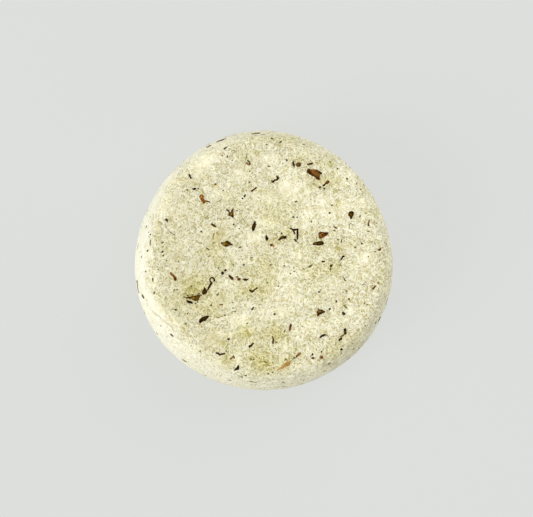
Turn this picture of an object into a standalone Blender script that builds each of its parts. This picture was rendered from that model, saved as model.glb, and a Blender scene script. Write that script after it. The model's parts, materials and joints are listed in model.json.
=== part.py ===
"""Shaving soap puck: a pressed round soap bar with pieces of dried herbs and petals bedded in its skin.

Run with:  blender --background --python part.py   (or from the text editor)

The soap body is one solid of revolution, then worked like the real bar: a dished top, a slightly
uneven outline and a faint press line round the shoulder.  Each piece of dried plant is a
separate solid that lies in its own pocket in the soap, as it would if it were picked out with
tweezers.  Units: the constants are in millimetres, the meshes in metres.  +Z up, the origin in
the middle of the flat base.
"""

import math

import bmesh
import bpy
from mathutils import Vector
from mathutils.bvhtree import BVHTree

# ------------------------------------------------------------------ driving dimensions (mm)
MM = 0.001                 # metres per millimetre

PUCK_RADIUS = 35.0         # widest point of the side
PUCK_HEIGHT = 26.0         # base to the crest of the rim
BASE_RADIUS = 26.5         # flat face that the puck rests on
BELT_HEIGHT = 10.5         # height of the widest point
CREST_RADIUS = 29.4        # crest of the rim round the dish
LOWER_FULLNESS = 2.25      # superellipse powers of the two quarter rounds
UPPER_FULLNESS = 2.15

DISH_DEPTH = 2.3           # hollow in the top, worn and pressed off centre
DISH_CENTRE = (-8.5, -1.5)
RIM_TILT = 0.35            # the rim stands this much higher at its high side
RIM_TILT_TOWARDS = math.radians(200.0)

PRESS_LINE_HEIGHT = 21.5   # where the press die met the wall of the mould
PRESS_STEP = 0.34          # how far the soap above it sits in, at its worst place
PRESS_STEP_AT = math.radians(206.0)
PRESS_STEP_SPREAD = math.radians(20.0)
RIM_RIDGE = 0.40           # the rim stands up on one side of the crest
RIM_RIDGE_RADIUS = 30.8
RIM_RIDGE_WIDTH = 1.8
RIM_RIDGE_AT = math.radians(178.0)
RIM_RIDGE_SPREAD = math.radians(52.0)

SEGMENTS = 72              # round the body
POCKET_CLEARANCE = 0.07    # between a fragment and the soap that it is bedded in
POCKET_RISE = 1.6          # how far a pocket's cutter stands out of the skin

# Shallow lumps and hollows in the pressed top: x, y, height, half length, half width, heading
LUMPS = (
    (-1.5, -15.5, 0.50, 12.0, 3.2, 27.0),
    (-2.0, -24.0, -0.45, 9.0, 3.6, 4.0),
    (-1.0, -29.0, -0.70, 10.0, 2.8, -4.0),
    (13.5, 9.0, 0.28, 4.0, 10.0, -12.0),
    (-18.5, 19.0, -0.35, 5.0, 3.0, 45.0),
    (-20.5, 22.0, -0.45, 4.0, 2.2, 42.0),
    (21.0, -9.5, -0.30, 4.5, 7.0, 12.0),
    (20.5, -21.0, -0.40, 5.0, 2.6, 42.0),
    (-18.5, -10.0, -0.35, 6.5, 4.0, 35.0),
    (-15.5, -21.0, -0.45, 4.0, 2.6, -35.0),
    (5.0, 25.5, -0.20, 8.0, 3.0, -8.0),
    (-6.0, 8.0, 0.18, 6.0, 4.0, 60.0),
)

# The fragments are laid out on a sheet that is square to a slightly leaning axis and spreads
# from an apex, so that the ones on the shoulder can be laid out too.  A layout point drops to
# the skin along the line from the apex.
LAY_LEAN = math.radians(8.0)            # lean of the layout axis from +Z
LAY_TOWARDS = math.radians(225.0)       # and the side that it leans to
LAY_APEX = 420.0                        # apex, from the middle of the layout sheet
LAY_LEVEL = 11.0                        # height of the middle of the sheet


# ------------------------------------------------------------------ materials
def material(name, colour, roughness):
    made = bpy.data.materials.new(name)
    made.use_nodes = True
    shader = made.node_tree.nodes["Principled BSDF"]
    shader.inputs["Base Color"].default_value = (*colour, 1.0)
    shader.inputs["Roughness"].default_value = roughness
    shader.inputs["Metallic"].default_value = 0.0
    made.diffuse_color = (*colour, 1.0)
    return made


def linear(r, g, b):
    """An 8-bit colour as the linear values that a shader takes."""
    return tuple(((v / 255 + 0.055) / 1.055) ** 2.4 if v > 10 else v / 255 / 12.92 for v in (r, g, b))


COLOURS = {
    "soap": (linear(228, 221, 184), 0.62),
    "bark_brown": (linear(112, 68, 42), 0.70),
    "husk_dark": (linear(46, 33, 20), 0.60),
    "petal_red": (linear(128, 74, 38), 0.66),
    "stem_tan": (linear(168, 118, 72), 0.72),
    "leaf_olive": (linear(98, 84, 40), 0.68),
}


# ------------------------------------------------------------------ the skin of the soap
def smooth(t):
    t = min(1.0, max(0.0, t))
    return t * t * (3.0 - 2.0 * t)


def angle_between(a, b):
    return (a - b + math.pi) % (2.0 * math.pi) - math.pi


def out_of_round(phi):
    return (
        -0.13 * math.cos(2 * phi)
        - 0.06 * math.sin(2 * phi)
        - 0.30 * math.sin(3 * phi)
        + 0.07 * math.cos(4 * phi)
    )


def press_mark(phi, z):
    """The shallow step at the press line, as a change of radius."""
    near = math.exp(-((angle_between(phi, PRESS_STEP_AT) / PRESS_STEP_SPREAD) ** 2))
    above = smooth((z - PRESS_LINE_HEIGHT + 0.3) / 0.6)
    fade = 1.0 - smooth((z - PRESS_LINE_HEIGHT) / (PUCK_HEIGHT - PRESS_LINE_HEIGHT))
    return -(0.06 + PRESS_STEP * near) * above * fade


def rim_ridge(phi, radius, z):
    """Height of the raised part of the rim."""
    turn = angle_between(phi, RIM_RIDGE_AT) / RIM_RIDGE_SPREAD
    off = (radius - RIM_RIDGE_RADIUS) / RIM_RIDGE_WIDTH
    return RIM_RIDGE * math.exp(-turn * turn - off * off) * smooth((z - 17.0) / 6.0)


def lumps(x, y):
    """Height of the dents and swells of the top."""
    height = 0.0
    for lx, ly, rise, long, wide, heading in LUMPS:
        c, s = math.cos(math.radians(heading)), math.sin(math.radians(heading))
        u = ((x - lx) * c + (y - ly) * s) / long
        v = (-(x - lx) * s + (y - ly) * c) / wide
        height += rise * math.exp(-(u * u + v * v))
    return height


def dish(x, y):
    """Height of the top against the crest: a hollow that reaches the crest with no slope."""
    cx, cy = DISH_CENTRE
    dx, dy = x - cx, y - cy
    reach = math.hypot(dx, dy)
    if reach < 1e-9:
        q = 0.0
    else:
        ux, uy = dx / reach, dy / reach
        along = cx * ux + cy * uy
        edge = -along + math.sqrt(max(0.0, along * along - (cx * cx + cy * cy) + CREST_RADIUS ** 2))
        q = min(1.0, reach / edge)
    return -DISH_DEPTH * (1.0 - q ** 3) ** 1.5


def section():
    """(radius, height) pairs of the half section, from the middle of the base to the middle of the top."""
    rows = [(9.0, 0.0), (17.0, 0.0), (22.5, 0.0), (BASE_RADIUS, 0.0)]
    lower = 2.0 / LOWER_FULLNESS
    for k in range(1, 6):
        t = k / 6 * math.pi / 2
        rows.append((
            BASE_RADIUS + (PUCK_RADIUS - BASE_RADIUS) * math.sin(t) ** lower,
            BELT_HEIGHT * (1.0 - math.cos(t) ** lower),
        ))
    rows.append((PUCK_RADIUS, BELT_HEIGHT))
    m = PRESS_LINE_HEIGHT
    for z in (13.0, 15.4, 17.6, 19.5, m - 0.9, m - 0.3, m + 0.3, m + 0.9, 23.4, 24.3, 25.1, 25.7):
        sine = ((z - BELT_HEIGHT) / (PUCK_HEIGHT - BELT_HEIGHT)) ** (UPPER_FULLNESS / 2.0)
        cosine = math.sqrt(1.0 - sine * sine)
        rows.append((CREST_RADIUS + (PUCK_RADIUS - CREST_RADIUS) * cosine ** (2.0 / UPPER_FULLNESS), z))
    rows.append((CREST_RADIUS, PUCK_HEIGHT))
    for r in (28.4, 26.7, 24.3, 21.3, 17.8, 14.1, 10.4, 6.8, 3.3):
        rows.append((r, PUCK_HEIGHT))
    return rows


def skin_point(r, z, phi, on_top):
    grow = 1.0 + out_of_round(phi) / PUCK_RADIUS
    radius = r * grow + (0.0 if on_top or z <= 0.0 else press_mark(phi, z))
    x, y = radius * math.cos(phi), radius * math.sin(phi)
    lift = smooth(z / PUCK_HEIGHT)
    raised = rim_ridge(phi, radius, z) + lumps(x, y) * smooth((z - 15.0) / 9.0)
    z += RIM_TILT * lift * (radius / PUCK_RADIUS) * math.cos(phi - RIM_TILT_TOWARDS)
    z += 0.16 * lift * math.sin(3 * phi + 0.8) * (radius / PUCK_RADIUS) ** 2
    z += raised
    if on_top:
        z += dish(x, y)
    return Vector((x, y, z))


def soap_skin():
    """Points and faces of the plain body, in mm, with its box centred on the Z axis."""
    rows = section()
    crest = next(i for i, (r, z) in enumerate(rows) if z == PUCK_HEIGHT)
    points = [Vector((0.0, 0.0, 0.0))]
    for i, (r, z) in enumerate(rows):
        for k in range(SEGMENTS):
            points.append(skin_point(r, z, 2.0 * math.pi * k / SEGMENTS, i >= crest))
    points.append(Vector((0.0, 0.0, PUCK_HEIGHT + dish(0.0, 0.0) + lumps(0.0, 0.0))))
    low = [min(p[i] for p in points) for i in range(2)]
    high = [max(p[i] for p in points) for i in range(2)]
    shift = Vector(((low[0] + high[0]) / 2, (low[1] + high[1]) / 2, 0.0))
    points = [p - shift for p in points]
    last = len(points) - 1
    ring = lambda i, k: 1 + i * SEGMENTS + k % SEGMENTS
    faces = []
    for k in range(SEGMENTS):
        faces.append((0, ring(0, k + 1), ring(0, k)))
        for i in range(len(rows) - 1):
            faces.append((ring(i, k), ring(i, k + 1), ring(i + 1, k + 1), ring(i + 1, k)))
        faces.append((ring(len(rows) - 1, k), ring(len(rows) - 1, k + 1), last))
    return points, faces


SKIN_POINTS, SKIN_FACES = soap_skin()
SKIN = BVHTree.FromPolygons(SKIN_POINTS, SKIN_FACES, all_triangles=False)


# ------------------------------------------------------------------ laying out the fragments
def lay_axes():
    away = Vector((
        math.sin(LAY_LEAN) * math.cos(LAY_TOWARDS),
        math.sin(LAY_LEAN) * math.sin(LAY_TOWARDS),
        math.cos(LAY_LEAN),
    ))
    across = Vector((0.0, 1.0, 0.0)).cross(away).normalized()
    return away, across, away.cross(across)


LAY_AWAY, LAY_ACROSS, LAY_UP = lay_axes()
LAY_MIDDLE = Vector((0.0, 0.0, LAY_LEVEL))


def lay_point(x, y):
    """Where the layout point (x, y) meets the skin, and the skin's normal there."""
    apex = LAY_MIDDLE + LAY_AWAY * LAY_APEX
    on_sheet = LAY_MIDDLE + LAY_ACROSS * x + LAY_UP * y
    ray = (on_sheet - apex).normalized()
    for pull in range(60):
        near = 1.0 - 0.004 * pull
        sheet = LAY_MIDDLE + LAY_ACROSS * (x * near) + LAY_UP * (y * near)
        ray = (sheet - apex).normalized()
        hit, _, _, _ = SKIN.ray_cast(apex, ray)
        if hit is not None:
            return hit, skin_normal(hit), ray
    raise ValueError("layout point off the puck")


def skin_normal(at):
    """Normal averaged over a small patch, so that a fragment doesn't lean with one facet."""
    total = Vector((0.0, 0.0, 0.0))
    for _, normal, _, distance in SKIN.find_nearest_range(at, 1.2):
        total += normal / (0.3 + distance)
    return total.normalized()


class Seat:
    """A place on the skin: a tangent frame whose u axis has the stated heading, and drop() onto the skin."""

    def __init__(self, at, normal, u_axis):
        self.at, self.normal = at, normal
        self.u = (u_axis - normal * u_axis.dot(normal)).normalized()
        self.v = normal.cross(self.u)

    @classmethod
    def on_sheet(cls, x, y, heading):
        at, normal, ray = lay_point(x, y)
        a = math.radians(heading)
        return cls(at, normal, LAY_ACROSS * math.cos(a) + LAY_UP * math.sin(a))

    @classmethod
    def on_side(cls, around, z, heading):
        """around: degrees round the puck; heading: 0 runs level, 90 runs up."""
        a = math.radians(around)
        hit, _, _, _ = SKIN.ray_cast(Vector((60 * math.cos(a), 60 * math.sin(a), z)), Vector((-math.cos(a), -math.sin(a), 0)))
        h = math.radians(heading)
        level = Vector((-math.sin(a), math.cos(a), 0.0))
        return cls(hit, skin_normal(hit), level * math.cos(h) + Vector((0, 0, 1)) * math.sin(h))

    @classmethod
    def on_base(cls, x, y, heading):
        a = math.radians(heading)
        return cls(Vector((x, y, 0.0)), Vector((0, 0, -1)), Vector((math.cos(a), math.sin(a), 0)))

    def drop(self, u, v):
        start = self.at + self.u * u + self.v * v + self.normal * 4.0
        hit, _, _, _ = SKIN.ray_cast(start, -self.normal, 12.0)
        return hit if hit is not None else self.at + self.u * u + self.v * v

    def point(self, u, v, height):
        return self.drop(u, v) + self.normal * height


# ------------------------------------------------------------------ the shapes of a fragment
def power(value, exponent):
    return math.copysign(abs(value) ** exponent, value)


def outline(kind, length, width, seed, count=12):
    """Closed outline of a flat fragment as (u, v) pairs, counter-clockwise, about its middle."""
    shape = {
        # kind: superellipse power, taper along u, ragged depth, lobes, lobe depth
        "husk": (1.75, 0.10, 0.05, 0, 0.0),
        "seed": (1.85, 0.00, 0.02, 0, 0.0),
        "chip": (2.90, 0.12, 0.10, 0, 0.0),
        "petal": (2.15, 0.38, 0.08, 0, 0.0),
        "leaf": (1.90, 0.22, 0.09, 0, 0.0),
        "tear": (2.00, 0.62, 0.03, 0, 0.0),
        "trefoil": (2.00, 0.00, 0.04, 3, 0.22),
        "wedge": (2.00, 0.00, 0.03, 3, -0.20),
    }[kind]
    squareness, taper, ragged, lobes, lobe_depth = shape
    points = []
    for k in range(count):
        a = 2.0 * math.pi * k / count
        c, s = math.cos(a), math.sin(a)
        u = power(c, 2.0 / squareness) / 2.0
        v = power(s, 2.0 / squareness) / 2.0 * (1.0 + taper * c)
        r = 1.0 + ragged * (0.6 * math.sin(3 * a + 1.7 * seed) + 0.6 * math.sin(5 * a + 2.9 * seed))
        if lobes:
            r *= 1.0 + lobe_depth * math.cos(lobes * a)
        points.append((u * r * length, v * r * width))
    return points


def offset(points, by):
    """The outline moved outwards by this much (inwards if negative), along its own normals."""
    moved = []
    n = len(points)
    for i, (u, v) in enumerate(points):
        (pu, pv), (nu, nv) = points[i - 1], points[(i + 1) % n]
        tu, tv = nu - pu, nv - pv
        length = math.hypot(tu, tv) or 1.0
        moved.append((u + tv / length * by, v - tu / length * by))
    return moved


def ring_solid(seat, rings, caps):
    """A closed solid lofted through rings of (u, v, height), lowest first, with a point in each cap."""
    points, faces = [], []
    n = len(rings[0])
    for ring in rings:
        points += [seat.point(u, v, h) for u, v, h in ring]
    for i in range(len(rings) - 1):
        for k in range(n):
            a, b = i * n + k, i * n + (k + 1) % n
            faces.append((a, b, b + n, a + n))
    bottom, top = len(points), len(points) + 1
    points += [seat.point(*caps[0]), seat.point(*caps[1])]
    last = (len(rings) - 1) * n
    for k in range(n):
        faces.append((bottom, (k + 1) % n, k))
        faces.append((top, last + k, last + (k + 1) % n))
    return points, faces


def plate(seat, shape, thick, proud, crown):
    """A flat fragment: full outline below the skin, softened at its upper edge, crowned or cupped in the middle."""
    mu = sum(p[0] for p in shape) / len(shape)
    mv = sum(p[1] for p in shape) / len(shape)
    inner = [(mu + (u - mu) * 0.72, mv + (v - mv) * 0.72) for u, v in shape]
    low = [(mu + (u - mu) * 0.86, mv + (v - mv) * 0.86) for u, v in shape]
    rings = [
        [(u, v, proud - thick) for u, v in low],
        [(u, v, proud - thick * 0.55) for u, v in shape],
        [(u, v, proud - 0.12) for u, v in shape],
        [(u, v, proud) for u, v in inner],
    ]
    return ring_solid(seat, rings, ((mu, mv, proud - thick * 1.05), (mu, mv, proud + crown)))


def plate_pocket(seat, shape, thick, proud, crown):
    wide = offset(shape, POCKET_CLEARANCE)
    mu = sum(p[0] for p in shape) / len(shape)
    mv = sum(p[1] for p in shape) / len(shape)
    low = proud - thick * 1.05 - POCKET_CLEARANCE
    rings = [[(u, v, low) for u, v in wide], [(u, v, POCKET_RISE) for u, v in wide]]
    return ring_solid(seat, rings, ((mu, mv, low), (mu, mv, POCKET_RISE)))


def along(path, widths):
    """Stations of a strip: (u, v, across u, across v, half width)."""
    stations = []
    for i, (u, v) in enumerate(path):
        before, after = path[max(0, i - 1)], path[min(len(path) - 1, i + 1)]
        tu, tv = after[0] - before[0], after[1] - before[1]
        length = math.hypot(tu, tv)
        stations.append((u, v, -tv / length, tu / length, widths[i] / 2.0))
    return stations


def strip_solid(seat, path, widths, section_of, stretch):
    """A closed solid swept along a path on the skin. section_of(half width) gives (across, height) pairs."""
    path = list(path)
    if stretch:
        for end, inner in ((0, 1), (-1, -2)):
            du, dv = path[end][0] - path[inner][0], path[end][1] - path[inner][1]
            length = math.hypot(du, dv)
            path[end] = (path[end][0] + du / length * stretch, path[end][1] + dv / length * stretch)
    points, faces = [], []
    for u, v, au, av, half in along(path, widths):
        points += [seat.point(u + au * a, v + av * a, h) for a, h in section_of(half)]
    n = len(section_of(1.0))
    for i in range(len(path) - 1):
        for k in range(n):
            a, b = i * n + k, i * n + (k + 1) % n
            faces.append((a, b, b + n, a + n))
    faces.append(tuple(range(n - 1, -1, -1)))
    last = (len(path) - 1) * n
    faces.append(tuple(last + k for k in range(n)))
    return points, faces


def strip(seat, path, widths, thick, proud):
    def section_of(half):
        return [
            (half * 0.70, proud - thick), (half, proud - thick * 0.5), (half, proud - 0.10), (half * 0.45, proud),
            (-half * 0.45, proud), (-half, proud - 0.10), (-half, proud - thick * 0.5), (-half * 0.70, proud - thick),
        ][::-1]
    return strip_solid(seat, path, widths, section_of, 0.0)


def strip_pocket(seat, path, widths, thick, proud):
    def section_of(half):
        wide = half + POCKET_CLEARANCE
        low = proud - thick - POCKET_CLEARANCE
        return [(wide, low), (wide, POCKET_RISE), (-wide, POCKET_RISE), (-wide, low)][::-1]
    return strip_solid(seat, path, widths, section_of, POCKET_CLEARANCE)


# ------------------------------------------------------------------ Blender objects
def mesh_of(name, points, faces, smooth_by=35.0):
    mesh = bpy.data.meshes.new(name)
    built = bmesh.new()
    vertices = [built.verts.new(p * MM) for p in points]
    for face in faces:
        built.faces.new([vertices[i] for i in face])
    bmesh.ops.recalc_face_normals(built, faces=built.faces)
    if built.calc_volume(signed=True) < 0:
        bmesh.ops.reverse_faces(built, faces=built.faces)
    built.to_mesh(mesh)
    built.free()
    mesh.shade_smooth()
    mesh.set_sharp_from_angle(angle=math.radians(smooth_by))
    return mesh


def place(name, points, faces, slot, parent=None):
    thing = bpy.data.objects.new(name, mesh_of(name, points, faces))
    bpy.context.scene.collection.objects.link(thing)
    if slot:
        thing.data.materials.append(MATERIALS[slot])
    if parent:
        thing.parent = parent
    return thing


for old in list(bpy.data.objects):
    bpy.data.objects.remove(old, do_unlink=True)

MATERIALS = {name: material(name, colour, rough) for name, (colour, rough) in COLOURS.items()}

puck = bpy.data.objects.new("puck", None)
bpy.context.scene.collection.objects.link(puck)

# ------------------------------------------------------------------ the fragments
# Flat fragments on the top and shoulder:
# name, kind, slot, x, y, length, width, heading, thickness, stands proud, crown
PLATES = (
    ("bark_sliver", "husk", "bark_brown", 17.25, 21.0, 2.3, 0.95, 42, 0.55, 0.12, 0.04),
    ("seed_shell_cupped", "chip", "leaf_olive", 9.45, 26.1, 2.4, 1.35, -4, 0.50, 0.10, -0.10),
    ("calyx_teardrop", "tear", "husk_dark", 24.05, 12.45, 2.4, 1.45, 92, 0.65, 0.16, 0.06),
    ("bark_chip_speckled", "chip", "bark_brown", 16.35, 6.95, 2.7, 1.6, 10, 0.60, 0.10, 0.0),
    ("seed_hull_long", "seed", "husk_dark", 15.1, 4.55, 3.0, 1.05, 3, 0.80, 0.18, 0.10),
    ("husk_flake_01", "husk", "husk_dark", 21.65, 0.65, 1.75, 0.85, 50, 0.50, 0.12, 0.03),
    ("husk_flake_02", "leaf", "husk_dark", 5.3, 6.15, 2.3, 1.05, 18, 0.50, 0.10, 0.0),
    ("husk_flake_03", "husk", "husk_dark", 1.05, 6.0, 1.45, 0.8, -65, 0.50, 0.12, 0.04),
    ("petal_crumb_amber", "petal", "petal_red", 2.35, 4.05, 1.2, 0.8, -8, 0.40, 0.06, 0.0),
    ("husk_flake_04", "husk", "husk_dark", 21.8, -14.4, 1.1, 0.85, -35, 0.50, 0.12, 0.03),
    ("husk_flake_05", "leaf", "husk_dark", 22.5, -19.35, 1.7, 0.75, -76, 0.50, 0.12, 0.02),
    ("husk_flake_06", "husk", "husk_dark", 21.1, -21.4, 1.1, 0.55, 45, 0.45, 0.10, 0.0),
    ("leaf_crumb_01", "trefoil", "leaf_olive", 13.5, -26.25, 1.3, 1.1, 80, 0.40, 0.08, 0.0),
    ("bark_crumb_01", "chip", "bark_brown", 15.9, -26.4, 1.2, 0.8, 0, 0.45, 0.08, 0.0),
    ("husk_flake_07", "husk", "husk_dark", 21.4, -24.2, 0.95, 0.6, 20, 0.40, 0.08, 0.0),
    ("calyx_trefoil", "trefoil", "leaf_olive", -26.2, 10.8, 1.6, 1.25, 20, 0.45, 0.12, 0.05),
    ("husk_flake_08", "husk", "husk_dark", -18.5, 19.55, 1.15, 0.55, -8, 0.45, 0.12, 0.02),
    ("petal_strip_red", "petal", "petal_red", -24.4, -4.5, 2.8, 0.75, 128, 0.40, 0.10, 0.03),
    ("husk_flake_09", "husk", "leaf_olive", -32.4, -9.9, 1.4, 0.6, -52, 0.45, 0.14, 0.02),
    ("leaf_curl_large", "wedge", "leaf_olive", -19.0, -10.05, 4.0, 1.7, 186, 0.50, 0.14, 0.10),
    ("leaf_curl_base", "chip", "husk_dark", -15.75, -8.45, 1.9, 1.15, 68, 0.60, 0.18, 0.06),
    ("husk_flake_10", "husk", "husk_dark", -20.15, -11.75, 2.0, 0.62, -25, 0.45, 0.14, 0.02),
    ("husk_chip_black", "chip", "husk_dark", -15.95, -16.2, 3.1, 0.95, 35, 0.60, 0.14, 0.05),
    ("husk_flake_11", "husk", "leaf_olive", -24.8, -20.5, 1.45, 0.65, -45, 0.45, 0.10, 0.02),
    ("husk_flake_12", "husk", "petal_red", -21.4, -27.2, 1.4, 0.7, -35, 0.45, 0.12, 0.02),
    ("husk_flake_13", "husk", "husk_dark", -11.5, 32.4, 2.0, 0.6, 18, 0.45, 0.14, 0.02),
    ("leaf_crumb_02", "leaf", "leaf_olive", -14.7, 30.7, 1.4, 0.6, 25, 0.40, 0.10, 0.0),
    ("husk_crescent", "husk", "bark_brown", -3.65, 26.5, 1.9, 0.65, -75, 0.45, 0.10, 0.02),
    ("husk_flake_14", "husk", "husk_dark", -2.75, 19.05, 1.45, 0.55, 35, 0.45, 0.12, 0.02),
    ("petal_orange", "petal", "petal_red", -16.5, 16.8, 2.6, 1.05, -52, 0.40, 0.08, 0.04),
    ("leaf_cluster", "leaf", "leaf_olive", -8.75, 12.9, 2.5, 1.5, -65, 0.50, 0.12, 0.05),
    ("petal_pale", "petal", "stem_tan", -12.4, 6.4, 2.3, 1.9, 80, 0.35, 0.03, -0.04),
    ("seed_spindle", "seed", "husk_dark", -2.45, 9.3, 2.7, 0.9, 78, 0.75, 0.18, 0.10),
    ("leaf_lens", "husk", "leaf_olive", -9.85, 4.5, 3.3, 1.55, -10, 0.50, 0.12, 0.06),
    ("husk_flake_15", "husk", "husk_dark", -10.6, -3.2, 1.55, 0.65, 58, 0.45, 0.12, 0.02),
    ("leaf_crumb_03", "leaf", "bark_brown", -6.1, -5.1, 1.5, 0.85, -35, 0.45, 0.10, 0.0),
    ("leaf_wedge_01", "wedge", "leaf_olive", -8.4, -26.6, 1.4, 1.2, 200, 0.45, 0.10, 0.0),
    ("husk_wedge_dark", "wedge", "husk_dark", -7.0, -29.4, 1.9, 1.1, 40, 0.50, 0.12, 0.0),
)

# Flat fragments with an outline of their own, corner by corner on the layout sheet:
# name, slot, thickness, stands proud, crown, corners
CUT_PLATES = (
    ("bark_chip_large", "bark_brown", 0.85, 0.22, 0.05,
     ((12.0, 24.4), (12.7, 23.6), (14.0, 22.6), (15.1, 21.8), (15.85, 21.6), (15.4, 22.4),
      (15.55, 23.0), (16.25, 23.6), (15.3, 24.55), (14.0, 24.75), (13.1, 24.75), (12.5, 25.05))),
    ("petal_frame_dark", "husk_dark", 0.50, 0.12, -0.05,
     ((14.75, -13.6), (14.85, -14.6), (14.75, -15.3), (15.1, -15.2), (15.5, -15.05), (16.1, -14.65),
      (16.9, -14.5), (17.05, -14.1), (16.5, -13.8), (15.9, -13.45), (15.2, -13.5))),
    ("petal_stem_amber", "stem_tan", 0.50, 0.08, 0.02,
     ((3.75, -30.4), (4.4, -30.05), (5.4, -29.55), (6.4, -29.15), (7.3, -28.6), (7.6, -28.0),
      (7.3, -27.6), (6.6, -27.8), (5.6, -28.4), (4.8, -29.1), (4.1, -29.7))),
)

# Slender fragments, point by point on the layout sheet:
# name, slot, width at each point, thickness, stands proud, points
STRIPS = (
    ("stem_bit_01", "husk_dark", (0.35, 0.5, 0.4), 0.45, 0.10, ((12.2, 26.15), (12.9, 26.15), (13.45, 26.4))),
    ("stem_bit_02", "husk_dark", (0.45, 0.6, 0.4, 0.5), 0.45, 0.12, ((2.3, 21.4), (2.9, 21.6), (3.6, 22.0), (4.25, 22.35))),
    ("stem_bit_03", "bark_brown", (0.4, 0.55, 0.4), 0.45, 0.10, ((28.65, 9.1), (28.75, 9.9), (28.95, 10.85))),
    ("stem_elbow", "husk_dark", (0.4, 0.6, 0.55, 0.5, 0.5, 0.45), 0.45, 0.14,
     ((7.55, 8.6), (8.3, 8.15), (9.1, 8.2), (9.55, 7.9), (9.5, 6.9), (9.5, 5.8))),
    ("stem_bit_04", "husk_dark", (0.35, 0.5, 0.45), 0.40, 0.10, ((15.4, -21.05), (16.0, -20.65), (16.8, -20.4))),
    ("stem_bit_05", "bark_brown", (0.4, 0.5, 0.5), 0.45, 0.10, ((7.25, -19.25), (7.4, -18.4), (7.75, -17.65))),
    ("leaf_vein_01", "leaf_olive", (0.35, 0.5, 0.4), 0.40, 0.08, ((2.6, -20.85), (2.85, -21.7), (2.7, -22.6))),
    ("stem_bit_06", "bark_brown", (0.35, 0.65, 0.6, 0.35), 0.45, 0.12, ((8.75, -26.5), (9.15, -26.1), (9.65, -25.75), (10.2, -25.25))),
    ("stem_bit_07", "husk_dark", (0.35, 0.5, 0.35), 0.45, 0.14, ((31.35, -16.75), (31.6, -16.15), (31.85, -15.55))),
    ("stem_bit_08", "bark_brown", (0.4, 0.55, 0.4), 0.40, 0.10, ((30.0, -7.9), (30.5, -7.4), (30.95, -6.95))),
    ("husk_rim_strip", "leaf_olive", (0.35, 0.45, 0.45, 0.35), 0.45, 0.12, ((-34.1, -5.5), (-34.0, -6.6), (-33.75, -7.8), (-33.3, -8.9))),
    ("tendril_curl", "husk_dark", (0.4, 0.4, 0.4, 0.35), 0.40, 0.14, ((-14.75, -7.35), (-14.2, -6.7), (-13.75, -5.9), (-13.75, -5.0))),
    ("stem_bit_09", "husk_dark", (0.35, 0.45, 0.35), 0.40, 0.12, ((-3.1, 34.2), (-2.1, 34.3), (-1.1, 34.35))),
    ("stem_bit_10", "husk_dark", (0.4, 0.5, 0.35), 0.40, 0.10, ((-19.55, 22.35), (-19.85, 23.0), (-20.15, 23.65))),
)

# Fragments of the hidden half of the side: name, kind, slot, degrees round, height, length, width, heading, thickness
SIDE_PLATES = (
    ("side_husk_01", "husk", "husk_dark", 24, 8.0, 1.9, 0.7, 35, 0.45),
    ("side_bark_01", "chip", "bark_brown", 112, 9.5, 2.6, 1.3, 15, 0.60),
    ("side_leaf_01", "leaf", "leaf_olive", 163, 7.0, 2.2, 1.2, -40, 0.45),
    ("side_petal_01", "petal", "petal_red", 292, 8.5, 2.4, 1.0, 20, 0.40),
)


def add_fragment(name, slot, solid, pocket):
    place(name, *solid, slot, puck)
    POCKETS.append(pocket)


POCKETS = []
for seed, (name, kind, slot, x, y, length, width, heading, thick, proud, crown) in enumerate(PLATES):
    seat = Seat.on_sheet(x, y, heading)
    shape = outline(kind, length, width, seed)
    add_fragment(name, slot, plate(seat, shape, thick, proud, crown), plate_pocket(seat, shape, thick, proud, crown))

for name, slot, thick, proud, crown, corners in CUT_PLATES:
    mx = sum(c[0] for c in corners) / len(corners)
    my = sum(c[1] for c in corners) / len(corners)
    seat = Seat.on_sheet(mx, my, 0.0)
    shape = [(x - mx, y - my) for x, y in corners]
    add_fragment(name, slot, plate(seat, shape, thick, proud, crown), plate_pocket(seat, shape, thick, proud, crown))

for name, slot, widths, thick, proud, corners in STRIPS:
    mx = sum(c[0] for c in corners) / len(corners)
    my = sum(c[1] for c in corners) / len(corners)
    seat = Seat.on_sheet(mx, my, 0.0)
    path = [(x - mx, y - my) for x, y in corners]
    add_fragment(name, slot, strip(seat, path, widths, thick, proud), strip_pocket(seat, path, widths, thick, proud))

for seed, (name, kind, slot, around, z, length, width, heading, thick) in enumerate(SIDE_PLATES, 50):
    seat = Seat.on_side(around, z, heading)
    shape = outline(kind, length, width, seed)
    add_fragment(name, slot, plate(seat, shape, thick, 0.12, 0.03), plate_pocket(seat, shape, thick, 0.12, 0.03))

# ------------------------------------------------------------------ the soap, with a pocket for each fragment
cutter_points, cutter_faces = [], []
for points, faces in POCKETS:
    start = len(cutter_points)
    cutter_points += points
    cutter_faces += [tuple(start + i for i in face) for face in faces]
cutter = place("pocket_cutter", cutter_points, cutter_faces, None, puck)
cutter.hide_render = True
cutter.display_type = "WIRE"

soap = place("soap_body", SKIN_POINTS, SKIN_FACES, "soap", puck)
cut = soap.modifiers.new("fragment_pockets", "BOOLEAN")
cut.operation = "DIFFERENCE"
cut.solver = "EXACT"
cut.object = cutter
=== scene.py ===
"""Looks of the shaving soap puck: a pressed, slightly rubbed soap bar with dried plant pieces in its skin.

Units: metres in Blender, millimetres in the helper functions (MM turns one into the other).
"""
import json
import math

import bmesh
import bpy
import numpy as np
from mathutils import Matrix, Vector
from mathutils.bvhtree import BVHTree
from mathutils.geometry import delaunay_2d_cdt


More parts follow.
